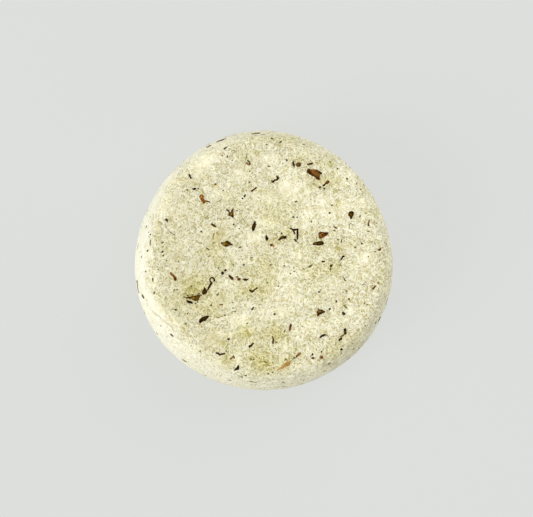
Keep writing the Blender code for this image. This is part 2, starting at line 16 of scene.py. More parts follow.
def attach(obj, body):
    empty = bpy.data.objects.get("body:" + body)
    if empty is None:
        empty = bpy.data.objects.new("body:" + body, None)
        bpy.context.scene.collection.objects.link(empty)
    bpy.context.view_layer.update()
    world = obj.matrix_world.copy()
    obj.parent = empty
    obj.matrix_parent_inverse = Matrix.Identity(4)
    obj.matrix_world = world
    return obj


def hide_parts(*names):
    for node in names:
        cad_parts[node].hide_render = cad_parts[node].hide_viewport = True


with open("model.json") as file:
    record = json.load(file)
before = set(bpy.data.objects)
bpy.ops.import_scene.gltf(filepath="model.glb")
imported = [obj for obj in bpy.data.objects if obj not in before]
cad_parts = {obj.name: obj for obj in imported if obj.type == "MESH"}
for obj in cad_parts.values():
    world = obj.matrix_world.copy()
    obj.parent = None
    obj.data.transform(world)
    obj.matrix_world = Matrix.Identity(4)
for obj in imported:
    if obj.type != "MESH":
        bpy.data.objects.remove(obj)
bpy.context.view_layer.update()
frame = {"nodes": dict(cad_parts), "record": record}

MM = 0.001
NODES = frame["nodes"]


# =================================================================== the shape of the soap (mm)
PUCK_RADIUS = 35.0
PUCK_HEIGHT = 26.0
BASE_RADIUS = 26.5
BELT_HEIGHT = 10.5
CREST_RADIUS = 29.4
LOWER_FULLNESS = 2.25
UPPER_FULLNESS = 2.15
DISH_DEPTH = 2.3
DISH_CENTRE = (-8.5, -1.5)
RIM_TILT = 0.35
RIM_TILT_TOWARDS = math.radians(200.0)
PRESS_LINE_HEIGHT = 21.5
PRESS_STEP = 0.34
PRESS_STEP_AT = math.radians(206.0)
PRESS_STEP_SPREAD = math.radians(20.0)
RIM_RIDGE = 0.40
RIM_RIDGE_RADIUS = 30.8
RIM_RIDGE_WIDTH = 1.8
RIM_RIDGE_AT = math.radians(178.0)
RIM_RIDGE_SPREAD = math.radians(52.0)
LUMPS = (
    (-1.5, -15.5, 0.50, 12.0, 3.2, 27.0),
    (-2.0, -24.0, -0.45, 9.0, 3.6, 4.0),
    (-1.0, -29.0, -0.70, 10.0, 2.8, -4.0),
    (13.5, 9.0, 0.28, 4.0, 10.0, -12.0),
    (-18.5, 19.0, -0.35, 5.0, 3.0, 45.0),
    (-20.5, 22.0, -0.45, 4.0, 2.2, 42.0),
    (21.0, -9.5, -0.30, 4.5, 7.0, 12.0),
    (20.5, -21.0, -0.40, 5.0, 2.6, 42.0),
    (-18.5, -10.0, -0.35, 6.5, 4.0, 35.0),
    (-15.5, -21.0, -0.45, 4.0, 2.6, -35.0),
    (5.0, 25.5, -0.20, 8.0, 3.0, -8.0),
    (-6.0, 8.0, 0.18, 6.0, 4.0, 60.0),
)


def smooth(t):
    t = np.clip(t, 0.0, 1.0)
    return t * t * (3.0 - 2.0 * t)


def out_of_round(phi):
    return (
        -0.13 * np.cos(2 * phi) - 0.06 * np.sin(2 * phi)
        - 0.30 * np.sin(3 * phi) + 0.07 * np.cos(4 * phi)
    )


def angle_between(a, b):
    return (a - b + math.pi) % (2.0 * math.pi) - math.pi


def press_mark(phi, z):
    near = np.exp(-((angle_between(phi, PRESS_STEP_AT) / PRESS_STEP_SPREAD) ** 2))
    above = smooth((z - PRESS_LINE_HEIGHT + 0.3) / 0.6)
    fade = 1.0 - smooth((z - PRESS_LINE_HEIGHT) / (PUCK_HEIGHT - PRESS_LINE_HEIGHT))
    return -(0.06 + PRESS_STEP * near) * above * fade


def rim_ridge(phi, radius, z):
    turn = angle_between(phi, RIM_RIDGE_AT) / RIM_RIDGE_SPREAD
    off = (radius - RIM_RIDGE_RADIUS) / RIM_RIDGE_WIDTH
    return RIM_RIDGE * np.exp(-turn * turn - off * off) * smooth((z - 17.0) / 6.0)


def lumps(x, y):
    height = 0.0
    for lx, ly, rise, long, wide, heading in LUMPS:
        c, s = math.cos(math.radians(heading)), math.sin(math.radians(heading))
        u = ((x - lx) * c + (y - ly) * s) / long
        v = (-(x - lx) * s + (y - ly) * c) / wide
        height = height + rise * np.exp(-(u * u + v * v))
    return height


def dish(x, y):
    cx, cy = DISH_CENTRE
    dx, dy = x - cx, y - cy
    reach = np.maximum(np.hypot(dx, dy), 1e-9)
    ux, uy = dx / reach, dy / reach
    along = cx * ux + cy * uy
    edge = -along + np.sqrt(np.maximum(0.0, along * along - (cx * cx + cy * cy) + CREST_RADIUS ** 2))
    q = np.minimum(1.0, reach / edge)
    return -DISH_DEPTH * (1.0 - q ** 3) ** 1.5


def section(step):
    """(radius, height, on top) along the half section, about step mm apart, from near the middle of the base."""
    t = np.linspace(0.0, math.pi / 2, 900)
    lower = 2.0 / LOWER_FULLNESS
    upper = 2.0 / UPPER_FULLNESS
    base = np.stack([np.linspace(0.0, BASE_RADIUS, 400), np.zeros(400)], 1)
    low = np.stack([
        BASE_RADIUS + (PUCK_RADIUS - BASE_RADIUS) * np.sin(t) ** lower,
        BELT_HEIGHT * (1.0 - np.cos(t) ** lower),
    ], 1)
    high = np.stack([
        CREST_RADIUS + (PUCK_RADIUS - CREST_RADIUS) * np.cos(t) ** upper,
        BELT_HEIGHT + (PUCK_HEIGHT - BELT_HEIGHT) * np.sin(t) ** upper,
    ], 1)
    top = np.stack([np.linspace(CREST_RADIUS, 0.0, 400), np.full(400, PUCK_HEIGHT)], 1)
    rows = []
    for part, spacing, on_top in ((base, step * 2.2, False), (low, step, False), (high, step * 0.8, False), (top, step, True)):
        run = np.concatenate([[0.0], np.cumsum(np.hypot(*np.diff(part, axis=0).T))])
        count = max(3, int(round(run[-1] / spacing)))
        for s in np.linspace(0.0, run[-1], count + 1)[1:]:
            rows.append((float(np.interp(s, run, part[:, 0])), float(np.interp(s, run, part[:, 1])), on_top))
    return [row for row in rows if row[0] > 0.35]


def skin_points(r, z, phi, on_top):
    """Points of one ring before the box is centred."""
    radius = r * (1.0 + out_of_round(phi) / PUCK_RADIUS)
    if not on_top and z > 0.0:
        radius = radius + press_mark(phi, z)
    x, y = radius * np.cos(phi), radius * np.sin(phi)
    lift = float(smooth(z / PUCK_HEIGHT))
    height = z + RIM_TILT * lift * (radius / PUCK_RADIUS) * np.cos(phi - RIM_TILT_TOWARDS)
    height = height + 0.16 * lift * np.sin(3 * phi + 0.8) * (radius / PUCK_RADIUS) ** 2
    height = height + rim_ridge(phi, radius, z) + lumps(x, y) * smooth((z - 15.0) / 9.0)
    if on_top:
        height = height + dish(x, y)
    return np.stack([x, y, np.broadcast_to(height, x.shape)], 1)


# ------------------------------------------------------------------- noise on arrays of points
def lattice(ix, iy, iz, seed):
    h = (ix * 374761393 + iy * 668265263 + iz * 2147483647 + seed * 974634777) & 0xFFFFFFFF
    h = ((h ^ (h >> 13)) * 1274126177) & 0xFFFFFFFF
    h = ((h ^ (h >> 16)) * 2246822519) & 0xFFFFFFFF
    return ((h ^ (h >> 15)) & 0xFFFFFF) / float(0xFFFFFF) * 2.0 - 1.0


def noise(points, size, seed):
    """Smooth value noise, -1 to 1, with features about size mm across."""
    p = np.asarray(points, float) / size + 1000.0
    cell = np.floor(p).astype(np.int64)
    f = p - cell
    w = f * f * f * (f * (f * 6 - 15) + 10)
    total = 0.0
    for a in (0, 1):
        for b in (0, 1):
            for c in (0, 1):
                weight = (
                    (w[:, 0] if a else 1 - w[:, 0]) * (w[:, 1] if b else 1 - w[:, 1]) * (w[:, 2] if c else 1 - w[:, 2])
                )
                total = total + weight * lattice(cell[:, 0] + a, cell[:, 1] + b, cell[:, 2] + c, seed)
    return total


# ------------------------------------------------------------------- plain body mesh
def stitched_rings(step):
    """Points and faces of the body, rings of 60 to 480 points that match the size of each ring."""
    rows = section(step)
    counts = [480 if r > 13.0 else 240 if r > 6.5 else 120 if r > 3.2 else 60 for r, _, _ in rows]
    points, starts = [np.zeros((1, 3))], []
    total = 1
    for (r, z, on_top), n in zip(rows, counts):
        phi = 2.0 * np.pi * np.arange(n) / n
        points.append(skin_points(r, z, phi, on_top))
        starts.append(total)
        total += n
    middle = np.array([[0.0, 0.0, PUCK_HEIGHT + float((dish(np.zeros(1), np.zeros(1)) + lumps(np.zeros(1), np.zeros(1)))[0])]])
    points.append(middle)
    faces = []
    first, n = starts[0], counts[0]
    for k in range(n):
        faces.append((0, first + (k + 1) % n, first + k))
    for i in range(len(rows) - 1):
        a, b, na, nb = starts[i], starts[i + 1], counts[i], counts[i + 1]
        if na == nb:
            for k in range(na):
                k1 = (k + 1) % na
                faces.append((a + k, a + k1, b + k1, b + k))
        elif nb == 2 * na:
            for k in range(na):
                k1, m = (k + 1) % na, 2 * k
                faces.append((a + k, b + m + 1, b + m))
                faces.append((a + k, a + k1, b + m + 1))
                faces.append((a + k1, b + (m + 2) % nb, b + m + 1))
        else:
            for k in range(nb):
                k1, m = (k + 1) % nb, 2 * k
                faces.append((b + k, a + m, a + m + 1))
                faces.append((b + k, a + m + 1, b + k1))
                faces.append((b + k1, a + m + 1, a + (m + 2) % na))
    last, n = starts[-1], counts[-1]
    for k in range(n):
        faces.append((last + k, last + (k + 1) % n, total))
    return np.concatenate(points), faces


POINTS, FACES = stitched_rings(0.5)
low, high = POINTS.min(0), POINTS.max(0)
POINTS[:, :2] -= (low[:2] + high[:2]) / 2.0


# =================================================================== places on the skin
LAY_LEAN = math.radians(8.0)
LAY_TOWARDS = math.radians(225.0)
LAY_APEX = 420.0
LAY_LEVEL = 11.0
LAY_AWAY = Vector((
    math.sin(LAY_LEAN) * math.cos(LAY_TOWARDS), math.sin(LAY_LEAN) * math.sin(LAY_TOWARDS), math.cos(LAY_LEAN)))
LAY_ACROSS = Vector((0.0, 1.0, 0.0)).cross(LAY_AWAY).normalized()
LAY_UP = LAY_AWAY.cross(LAY_ACROSS)
LAY_MIDDLE = Vector((0.0, 0.0, LAY_LEVEL))
APEX = LAY_MIDDLE + LAY_AWAY * LAY_APEX

PLAIN = BVHTree.FromPolygons([Vector(p) for p in POINTS], FACES, all_triangles=False)


def lay_point(x, y, tree=None):
    """Where the layout point (x, y) meets the skin."""
    tree = tree or PLAIN
    for pull in range(60):
        near = 1.0 - 0.004 * pull
        sheet = LAY_MIDDLE + LAY_ACROSS * (x * near) + LAY_UP * (y * near)
        hit, normal, _, _ = tree.ray_cast(APEX, (sheet - APEX).normalized())
        if hit is not None:
            return hit, normal
    raise ValueError("layout point off the puck")


# ------------------------------------------------------------------- the CAD pieces, as boxes for the lips round them
class Chip:
    """Where a CAD fragment lies: its middle, its long, cross and out axes, and its half sizes (mm)."""

    def __init__(self, name):
        mesh = NODES[name].data
        co = np.empty(len(mesh.vertices) * 3, np.float32)
        mesh.vertices.foreach_get("co", co)
        co = co.reshape(-1, 3).astype(float) / MM
        co = np.unique(np.round(co, 4), axis=0)
        self.middle = (co.min(0) + co.max(0)) / 2
        spread = co - co.mean(0)
        _, _, axes = np.linalg.svd(spread, full_matrices=False)
        near, normal, _, _ = PLAIN.find_nearest(Vector(co.mean(0)))
        out = np.array(normal)
        long = axes[0] - out * axes[0].dot(out)
        long /= np.linalg.norm(long)
        if long[0] < 0:
            long = -long
        self.long, self.out, self.cross = long, out, np.cross(out, long)
        frame3 = np.stack([self.long, self.cross, self.out], 1)
        local = (co - co.mean(0)) @ frame3
        self.middle = co.mean(0) + frame3 @ ((local.min(0) + local.max(0)) / 2)
        self.half = (local.max(0) - local.min(0)) / 2
        self.name = name
        self.local = (co - self.middle) @ frame3

    def to_local(self, points):
        return (points - self.middle) @ np.stack([self.long, self.cross, self.out], 1)


CHIP_NAMES = sorted(n for n in NODES if n != "soap_body")
CHIPS = {n: Chip(n) for n in CHIP_NAMES}


# =================================================================== stains, wear and painted light and shade, as attributes of the skin
# layout x, y, half length, half width, heading, strength
OLIVE = (
    (-4.9, -19.8, 2.8, 2.3, 20, 0.85), (3.6, -20.0, 3.2, 2.6, -20, 0.85), (5.8, -20.4, 1.6, 1.2, 10, 0.45),
    (-0.6, -27.4, 3.6, 3.0, -50, 0.95), (1.0, -29.2, 2.8, 1.8, 0, 0.7), (-3.5, -26.9, 2.6, 2.0, 0, 0.55),
    (-10.0, -27.0, 2.4, 2.0, 30, 0.6), (-8.2, -24.8, 2.4, 1.6, 0, 0.35),
    (0.6, -1.6, 2.4, 3.2, 10, 0.6), (1.2, -5.6, 2.0, 3.2, -10, 0.62), (-0.4, -9.0, 2.4, 1.8, 20, 0.6),
    (-4.6, -8.4, 3.0, 1.6, 20, 0.6), (-2.4, -3.6, 3.0, 2.4, 0, 0.45), (-6.4, -6.2, 2.4, 1.4, 10, 0.25),
    (-14.0, 2.0, 3.0, 2.0, -20, 0.5), (-11.0, -0.6, 2.8, 2.0, 0, 0.4), (-8.0, 15.0, 2.0, 1.4, 0, 0.3),
    (-9.6, 17.0, 2.0, 1.4, 0, 0.35), (3.0, 12.6, 5.0, 4.0, 10, 0.42), (5.8, 15.2, 2.6, 2.0, 0, 0.35),
    (6.6, 7.6, 2.0, 1.3, 10, 0.75), (-4.9, 28.4, 2.0, 2.0, 0, 0.45), (1.2, 18.0, 2.4, 1.6, 0, 0.3),
    (18.0, -2.2, 3.8, 2.2, 0, 0.5), (13.6, -3.4, 2.6, 2.8, 0, 0.5), (14.2, -10.6, 3.0, 1.6, 0, 0.35),
    (20.4, 3.4, 1.5, 1.3, 0, 0.6), (11.2, 3.6, 2.0, 1.8, 0, 0.35), (10.2, 2.2, 1.4, 0.9, 0, 0.4),
    (20.0, -24.6, 3.6, 2.6, 20, 0.55), (25.4, -22.6, 3.0, 2.4, 45, 0.45), (17.8, -25.2, 2.0, 1.6, 0, 0.5),
    (32.6, -4.8, 1.6, 3.0, 0, 0.4), (31.2, 12.6, 1.6, 1.8, 0, 0.35), (20.4, 15.2, 1.3, 1.0, 30, 0.5),
    (-19.0, -5.6, 3.6, 2.4, 20, 0.35), (-18.6, -9.0, 4.4, 2.0, 10, 0.6), (-22.6, -6.0, 2.6, 2.0, 0, 0.3),
    (5.0, 33.6, 4.4, 1.4, -6, 0.45), (-2.0, 33.2, 3.6, 1.4, 0, 0.3), (19.0, 21.6, 2.2, 1.4, 0, 0.65),
    (17.6, 26.6, 1.8, 1.2, 0, 0.5), (26.8, 20.6, 1.0, 2.2, 30, 0.4), (16.6, -29.8, 2.2, 0.9, 25, 0.3),
    (8.4, -24.0, 2.2, 1.4, 0, 0.35), (11.9, 19.2, 1.6, 0.8, -10, 0.3), (-16.6, -24.4, 3.4, 1.4, 10, 0.3),
    (22.8, -1.2, 1.4, 0.9, 0, 0.35), (25.0, 4.4, 1.0, 1.2, 0, 0.35), (14.6, 3.4, 1.3, 0.6, 0, 0.55),
    (-18.8, -7.6, 4.4, 3.2, 35, 0.85), (-15.4, -13.4, 4.4, 2.2, 15, 0.55), (-12.9, 4.8, 2.2, 3.6, 0, 0.5),
    (-2.2, -7.6, 3.2, 1.8, 0, 0.75), (4.6, 6.2, 3.6, 1.5, 15, 0.6), (5.6, -27.8, 3.8, 2.2, 20, 0.65),
    (-2.6, -26.0, 2.4, 1.6, 0, 0.8), (8.8, -24.2, 1.6, 1.2, 0, 0.4), (16.6, 22.0, 1.6, 2.0, 0, 0.55),
    (10.2, 28.0, 2.2, 1.6, 0, 0.45), (30.4, 12.2, 1.8, 1.4, 0, 0.4), (15.8, 5.0, 2.0, 1.4, 0, 0.35),
    (2.6, 33.4, 3.0, 1.2, 0, 0.35), (17.2, -25.0, 1.8, 1.4, 0, 0.4), (-10.6, -22.6, 2.6, 1.8, -30, 0.35),
    (23.6, 4.2, 1.8, 1.4, 0, 0.3), (-4.8, 10.4, 1.2, 1.6, 0, 0.35), (-28.0, 6.4, 2.4, 1.6, 0, 0.15),
    (-19.4, -9.4, 4.0, 2.4, 20, 0.5), (-24.0, -10.4, 1.8, 1.4, 0, 0.3), (5.4, -14.2, 2.6, 1.0, 5, 0.25),
)
# Grey herb smears; the wide patches over the left inner slope of the dish are painted shade, where that slope faces
# away from the key light
GREY_SMEARS_AND_SHADE = (
    (-10.6, -10.5, 1.9, 1.1, -10, 0.85), (-11.8, -11.4, 1.2, 0.9, 0, 0.4), (-29.8, 8.6, 0.9, 0.6, 0, 0.6),
    (-24.7, 17.8, 0.7, 0.5, 0, 0.5), (-18.5, 20.6, 0.8, 0.7, 0, 0.8), (-24.8, -11.8, 0.6, 0.5, 0, 0.5),
    (-21.0, -19.1, 1.2, 0.7, -20, 0.5), (-17.7, -27.3, 0.8, 0.6, 0, 0.5), (-7.8, 25.5, 1.1, 0.5, 0, 0.6),
    (-11.4, 25.9, 0.7, 0.5, 0, 0.5), (-4.5, -8.55, 0.9, 0.5, 0, 0.6), (-6.8, -7.05, 0.5, 0.4, 0, 0.7),
    (7.3, 28.5, 1.1, 0.45, 0, 0.6), (5.9, 25.3, 0.9, 0.6, 0, 0.4), (9.8, 16.9, 0.8, 0.5, 0, 0.5),
    (13.5, 20.0, 1.2, 0.45, -8, 0.55), (8.7, -14.4, 0.8, 0.6, 0, 0.5), (27.6, -11.7, 1.1, 0.9, 0, 0.5),
    (25.0, -4.5, 1.0, 0.5, 0, 0.5), (25.5, -5.2, 0.6, 0.4, 0, 0.4), (27.5, -4.6, 0.5, 0.4, 0, 0.5),
    (17.5, 26.4, 0.8, 0.6, 0, 0.6), (16.5, -8.7, 0.7, 0.6, 0, 0.4), (12.4, -18.6, 0.6, 0.4, 0, 0.4),
    (18.4, -25.2, 0.6, 0.5, 0, 0.5), (2.8, -14.9, 0.4, 0.4, 0, 0.3), (-13.2, -12.4, 0.8, 0.6, 0, 0.4),
    (-23.0, 12.6, 3.2, 4.4, 10, 0.24), (-24.6, 2.4, 3.0, 6.0, 0, 0.28), (-22.6, -12.6, 3.0, 4.4, 30, 0.24),
    (12.0, 23.0, 0.9, 0.8, 0, 0.45), (14.4, 21.6, 1.4, 0.5, -30, 0.45), (16.8, 19.6, 1.2, 0.6, -10, 0.4),
    (-14.0, -20.7, 2.6, 1.8, -15, 0.76), (-23.4, -12.4, 2.8, 4.0, 25, 0.36), (22.4, -10.8, 2.4, 1.2, 10, 0.5),
    (-20.6, 22.4, 3.4, 1.4, 0, 0.42), (-24.0, -3.0, 2.4, 4.0, 0, 0.24), (-12.0, -10.7, 3.4, 1.5, 20, 0.46),
    (-17.8, -9.7, 3.2, 1.5, 10, 0.66), (14.0, 20.8, 2.4, 0.6, -26, 0.75), (12.2, 22.2, 0.9, 0.5, -30, 0.4),
    (-10.4, -9.0, 0.9, 0.6, 10, 0.6), (-12.2, -12.3, 0.8, 0.5, 0, 0.45), (-31.0, 2.8, 1.0, 2.2, 0, 0.4),
    (-28.4, -12.0, 1.6, 2.6, 30, 0.26), (17.4, 19.4, 1.2, 0.5, 20, 0.5), (22.2, -20.5, 2.2, 1.4, 0, 0.52), (-5.0, 24.6, 1.2, 2.2, 0, 0.3),
    (-11.8, 6.0, 1.4, 3.0, 0, 0.3), (-19.7, -7.0, 2.4, 2.0, 30, 0.44), (-24.4, -12.0, 2.4, 2.2, 0, 0.42),
    (-13.0, -10.2, 1.6, 0.8, 10, 0.68), (-14.0, -21.2, 1.7, 1.3, 0, 0.9), (-26.2, 2.0, 1.7, 1.7, 0, 0.36),
    (-18.0, 23.6, 1.8, 1.5, 0, 0.36), (-10.0, -27.2, 1.6, 1.6, 0, 0.3), (-6.6, -16.4, 1.8, 0.8, 0, 0.3),
    (16.7, 21.7, 1.0, 0.9, 0, 0.6), (30.0, -7.4, 1.0, 1.8, 0, 0.3), (-13.6, -4.8, 1.8, 1.0, 0, 0.3),
)
BROWN = (
    (-26.8, -7.0, 0.7, 1.8, 100, 0.55), (3.2, 3.9, 1.2, 0.7, 0, 0.8), (3.8, 6.6, 1.0, 0.7, 0, 0.45),
    (22.3, -8.8, 0.8, 0.9, 0, 0.55), (-8.4, -4.9, 0.9, 0.5, 0, 0.5), (6.7, -28.0, 1.4, 1.2, 30, 0.55),
    (32.0, 1.6, 1.2, 2.4, 0, 0.35), (33.4, -4.6, 0.9, 3.0, 0, 0.45), (30.6, -8.4, 1.2, 0.9, 0, 0.4),
    (29.6, -12.0, 1.6, 2.0, 0, 0.28), (26.6, -19.6, 2.4, 2.4, 0, 0.28), (17.8, -28.2, 1.8, 0.6, 0, 0.5),
    (31.4, -6.2, 1.0, 0.6, 0, 0.4), (27.0, -23.4, 1.2, 0.9, 0, 0.4), (7.4, -18.0, 0.8, 1.0, 0, 0.4),
    (22.6, -20.4, 0.9, 1.0, 0, 0.5), (15.0, -14.6, 1.0, 0.7, 0, 0.35), (20.0, 9.3, 0.9, 0.5, 0, 0.5),
    (-22.6, -3.4, 0.8, 0.6, 0, 0.3), (21.2, 2.0, 0.9, 0.7, 0, 0.4), (15.9, -26.4, 1.4, 1.0, 0, 0.5),
    (11.4, 24.4, 0.8, 0.5, 0, 0.3), (28.7, 9.9, 0.6, 0.8, 0, 0.35), (31.6, 3.2, 0.9, 0.7, 0, 0.45),
    (21.6, -21.4, 2.2, 1.8, 30, 0.35), (30.2, -7.2, 1.4, 2.6, 0, 0.35), (27.8, -11.0, 1.8, 2.0, 0, 0.3),
    (26.4, -16.4, 1.4, 1.4, 0, 0.25), (6.8, -27.4, 2.0, 1.6, 0, 0.35),
    (31.0, -13.0, 4.0, 1.6, 67, 0.24), (26.0, -21.6, 4.2, 1.6, 50, 0.24), (19.6, -27.6, 4.0, 1.4, 35, 0.2),
    (33.2, 2.4, 4.0, 1.0, 90, 0.2),
)
# Where the paste is cleaner and whiter, and painted highlight: pale bands on ridges lit by the key light and pale
# patches along the lit left and upper-left rim
PALE_PASTE_AND_LIT = (
    (7.0, 19.5, 3.8, 2.8, -60, 0.7), (5.0, 23.5, 2.6, 2.2, 0, 0.45), (3.5, -14.0, 4.4, 1.6, 5, 0.55),
    (8.2, -8.6, 2.0, 3.6, 20, 0.5), (-6.3, -16.2, 2.2, 1.6, 0, 0.9), (22.0, 14.5, 2.0, 2.6, -30, 0.65),
    (-27.0, 13.5, 2.2, 2.2, 0, 0.6), (-16.0, 27.0, 3.8, 2.6, 35, 0.7), (27.5, 0.5, 2.0, 2.6, 0, 0.55),
    (-2.6, 6.6, 1.8, 1.5, 0, 0.8), (18.0, 12.8, 2.6, 2.0, 0, 0.7), (1.0, 10.5, 3.0, 1.6, 0, 0.55),
    (13.0, -18.2, 4.4, 1.6, 0, 0.45), (-7.2, -26.6, 1.0, 2.4, 0, 0.7), (9.5, 1.6, 2.6, 1.6, 0, 0.5),
    (6.0, -3.6, 2.6, 1.6, 0, 0.45), (23.0, 23.4, 3.2, 2.6, -45, 0.5), (16.6, 16.0, 2.6, 1.6, 0, 0.55),
    (-12.6, 18.4, 1.8, 1.6, 0, 0.55), (23.6, -13.8, 1.8, 1.0, 40, 0.55), (26.8, -20.8, 1.2, 1.2, 0, 0.4),
    (1.5, 27.5, 2.8, 1.6, 0, 0.6), (-6.2, 23.4, 2.0, 1.6, 0, 0.55), (-29.6, -13.0, 2.0, 3.0, 30, 0.4),
    (-18.0, 31.0, 4.0, 2.0, 30, 0.5), (25.0, 9.0, 3.0, 1.2, 0, 0.35), (20.4, -6.6, 1.4, 1.0, 0, 0.35),
    (11.8, 12.4, 1.8, 2.2, 0, 0.7), (0.4, 16.8, 3.0, 1.6, 0, 0.5), (-25.6, 21.8, 1.8, 2.4, 45, 0.6),
    (15.4, -30.8, 3.0, 1.2, 25, 0.55), (2.9, -4.2, 1.2, 2.8, 0, 0.35), (27.6, 16.0, 2.2, 1.4, 0, 0.55),
    (-8.6, -6.7, 1.8, 1.2, 0, 0.5), (-30.0, -5.6, 1.5, 2.0, 0, 0.55), (-20.0, -23.7, 2.4, 1.4, -30, 0.5),
    (-25.0, -17.2, 2.0, 1.4, -40, 0.5), (-13.2, -27.8, 2.0, 1.2, -20, 0.4), (19.8, -16.0, 2.4, 1.0, 0, 0.5),
    (-8.8, -19.8, 1.4, 1.2, 0, 0.45), (5.8, -23.6, 1.2, 1.2, 0, 0.45), (9.2, 8.6, 1.4, 2.0, 0, 0.35),
    (-17.0, 8.6, 1.4, 1.0, 0, 0.35), (18.6, 2.4, 1.0, 1.6, 0, 0.3), (5.4, 2.6, 1.4, 0.9, 0, 0.3),
    (11.0, -4.0, 1.8, 1.2, 0, 0.4), (17.0, -5.7, 2.2, 1.0, 0, 0.4), (3.0, -9.8, 1.8, 2.0, 0, 0.4),
    (24.0, -2.2, 1.2, 1.4, 0, 0.35), (13.6, -24.4, 1.6, 1.6, 0, 0.45), (9.2, -18.8, 1.2, 1.8, 0, 0.45),
    (12.0, -28.8, 2.0, 1.4, 0, 0.4), (-11.0, 31.8, 2.4, 1.2, 20, 0.5), (-27.4, 18.0, 1.8, 3.0, -30, 0.45),
    (0.0, 3.8, 0.9, 1.4, 0, 0.3),
)


def stain(points, rows):
    """0 to 1 at each point: soft spots laid on the skin, with the given half sizes."""
    total = np.zeros(len(points))
    across, up = np.array(LAY_ACROSS), np.array(LAY_UP)
    for x, y, long, wide, heading, strength in rows:
        at = np.array(lay_point(x, y)[0])
        d = points - at
        c, s = math.cos(math.radians(heading)), math.sin(math.radians(heading))
        px, py = d @ across, d @ up
        u, v = (px * c + py * s) / long, (-px * s + py * c) / wide
        depth = (d @ np.array(LAY_AWAY)) / (2.5 * max(long, wide))
        total = np.maximum(total, strength * np.exp(-0.9 * (u * u + v * v) - depth * depth))
    return total


def worn_and_lit_rim(points):
    """Where handling has rubbed the rim smooth and pale all round a little, plus a much stronger painted highlight on
    the side that faces the key light.
    """
    r, phi = np.hypot(points[:, 0], points[:, 1]), np.arctan2(points[:, 1], points[:, 0])
    turn = (phi - math.radians(180.0) + math.pi) % (2.0 * math.pi) - math.pi
    side = np.exp(-((turn / math.radians(76.0)) ** 2))
    inner = 30.8 + 1.3 * noise(points, 6.0, 51) + 0.9 * noise(points, 2.2, 52)
    flank = 0.55 * smooth((19.0 - points[:, 2]) / 8.0)
    return np.maximum((0.14 + 0.86 * side) * smooth((r - inner) / 2.4), flank * smooth((r - 25.0) / 4.0))


# =================================================================== node helper
class Tree:
    """Short names for the shader nodes used here."""

    def __init__(self, name):
        self.material = bpy.data.materials.new(name)
        self.material.use_nodes = True
        self.tree = self.material.node_tree
        self.shader = self.tree.nodes["Principled BSDF"]
        self.output = self.tree.nodes["Material Output"]

    def add(self, kind, **values):
        node = self.tree.nodes.new(kind)
        for key, value in values.items():
            setattr(node, key, value)
        return node

    def link(self, source, socket):
        if isinstance(source, (int, float)):
            socket.default_value = source
        elif isinstance(source, (tuple, list)):
            socket.default_value = (*source, 1.0) if len(source) == 3 and socket.type == "RGBA" else source
        else:
            self.tree.links.new(source, socket)

    def mm(self):
        """Position in the object's own frame, in millimetres."""
        scale = self.add("ShaderNodeVectorMath", operation="SCALE")
        scale.inputs["Scale"].default_value = 1.0 / MM
        self.tree.links.new(self.add("ShaderNodeTexCoord").outputs["Object"], scale.inputs[0])
        return scale.outputs[0]

    def attribute(self, name, vector=False):
        node = self.add("ShaderNodeAttribute", attribute_name=name)
        return node.outputs["Vector" if vector else "Fac"]

    def vector(self, operation, a, b=None):
        node = self.add("ShaderNodeVectorMath", operation=operation)
        self.link(a, node.inputs[0])
        if b is not None:
            self.link(b, node.inputs[1])
        return node.outputs[0]

    def mapping(self, vector, scale=(1, 1, 1), rotation=(0, 0, 0), location=(0, 0, 0)):
        """Moves, turns, and then stretches: scale is the number of features per unit along each turned axis."""
        node = self.add("ShaderNodeMapping", vector_type="TEXTURE")
        scale = [1.0 / s for s in scale]
        self.link(vector, node.inputs["Vector"])
        node.inputs["Scale"].default_value = scale
        node.inputs["Rotation"].default_value = [math.radians(a) for a in rotation]
        node.inputs["Location"].default_value = location
        return node.outputs[0]

    def noise(self, vector, scale, detail=2.0, rough=0.5, distortion=0.0, colour=False):
        node = self.add("ShaderNodeTexNoise")
        self.link(vector, node.inputs["Vector"])
        node.inputs["Scale"].default_value = scale
        node.inputs["Detail"].default_value = detail
        node.inputs["Roughness"].default_value = rough
        node.inputs["Distortion"].default_value = distortion
        return node.outputs["Color" if colour else "Fac"]

    def voronoi(self, vector, scale, feature="F1", randomness=1.0, output="Distance"):
        node = self.add("ShaderNodeTexVoronoi", feature=feature)
        self.link(vector, node.inputs["Vector"])
        node.inputs["Scale"].default_value = scale
        node.inputs["Randomness"].default_value = randomness
        return node.outputs[output]

    def math(self, operation, a, b=None, c=None, clamp=False):
        node = self.add("ShaderNodeMath", operation=operation, use_clamp=clamp)
        for i, value in enumerate((a, b, c)):
            if value is not None:
                self.link(value, node.inputs[i])
        return node.outputs[0]

    def ramp(self, value, low, high, out_low=0.0, out_high=1.0):
        """Smooth step of value from low..high to out_low..out_high."""
        node = self.add("ShaderNodeMapRange", interpolation_type="SMOOTHSTEP")
        self.link(value, node.inputs["Value"])
        node.inputs["From Min"].default_value = low
        node.inputs["From Max"].default_value = high
        node.inputs["To Min"].default_value = out_low
        node.inputs["To Max"].default_value = out_high
        return node.outputs[0]

    def mixed(self, factor, a, b, blend="MIX"):
        node = self.add("ShaderNodeMix", data_type="RGBA", blend_type=blend)
        sockets = [s for s in node.inputs if s.type == "RGBA"]
        self.link(factor, node.inputs[0])
        self.link(a, sockets[0])
        self.link(b, sockets[1])
        return next(s for s in node.outputs if s.type == "RGBA")

    def bump(self, height, strength, distance, normal=None):
        node = self.add("ShaderNodeBump")
        self.link(height, node.inputs["Height"])
        node.inputs["Strength"].default_value = strength
        node.inputs["Distance"].default_value = distance
        if normal is not None:
            self.link(normal, node.inputs["Normal"])
        return node.outputs[0]


def linear(r, g, b):
    return tuple(((v / 255 + 0.055) / 1.055) ** 2.4 if v > 10 else v / 255 / 12.92 for v in (r, g, b))


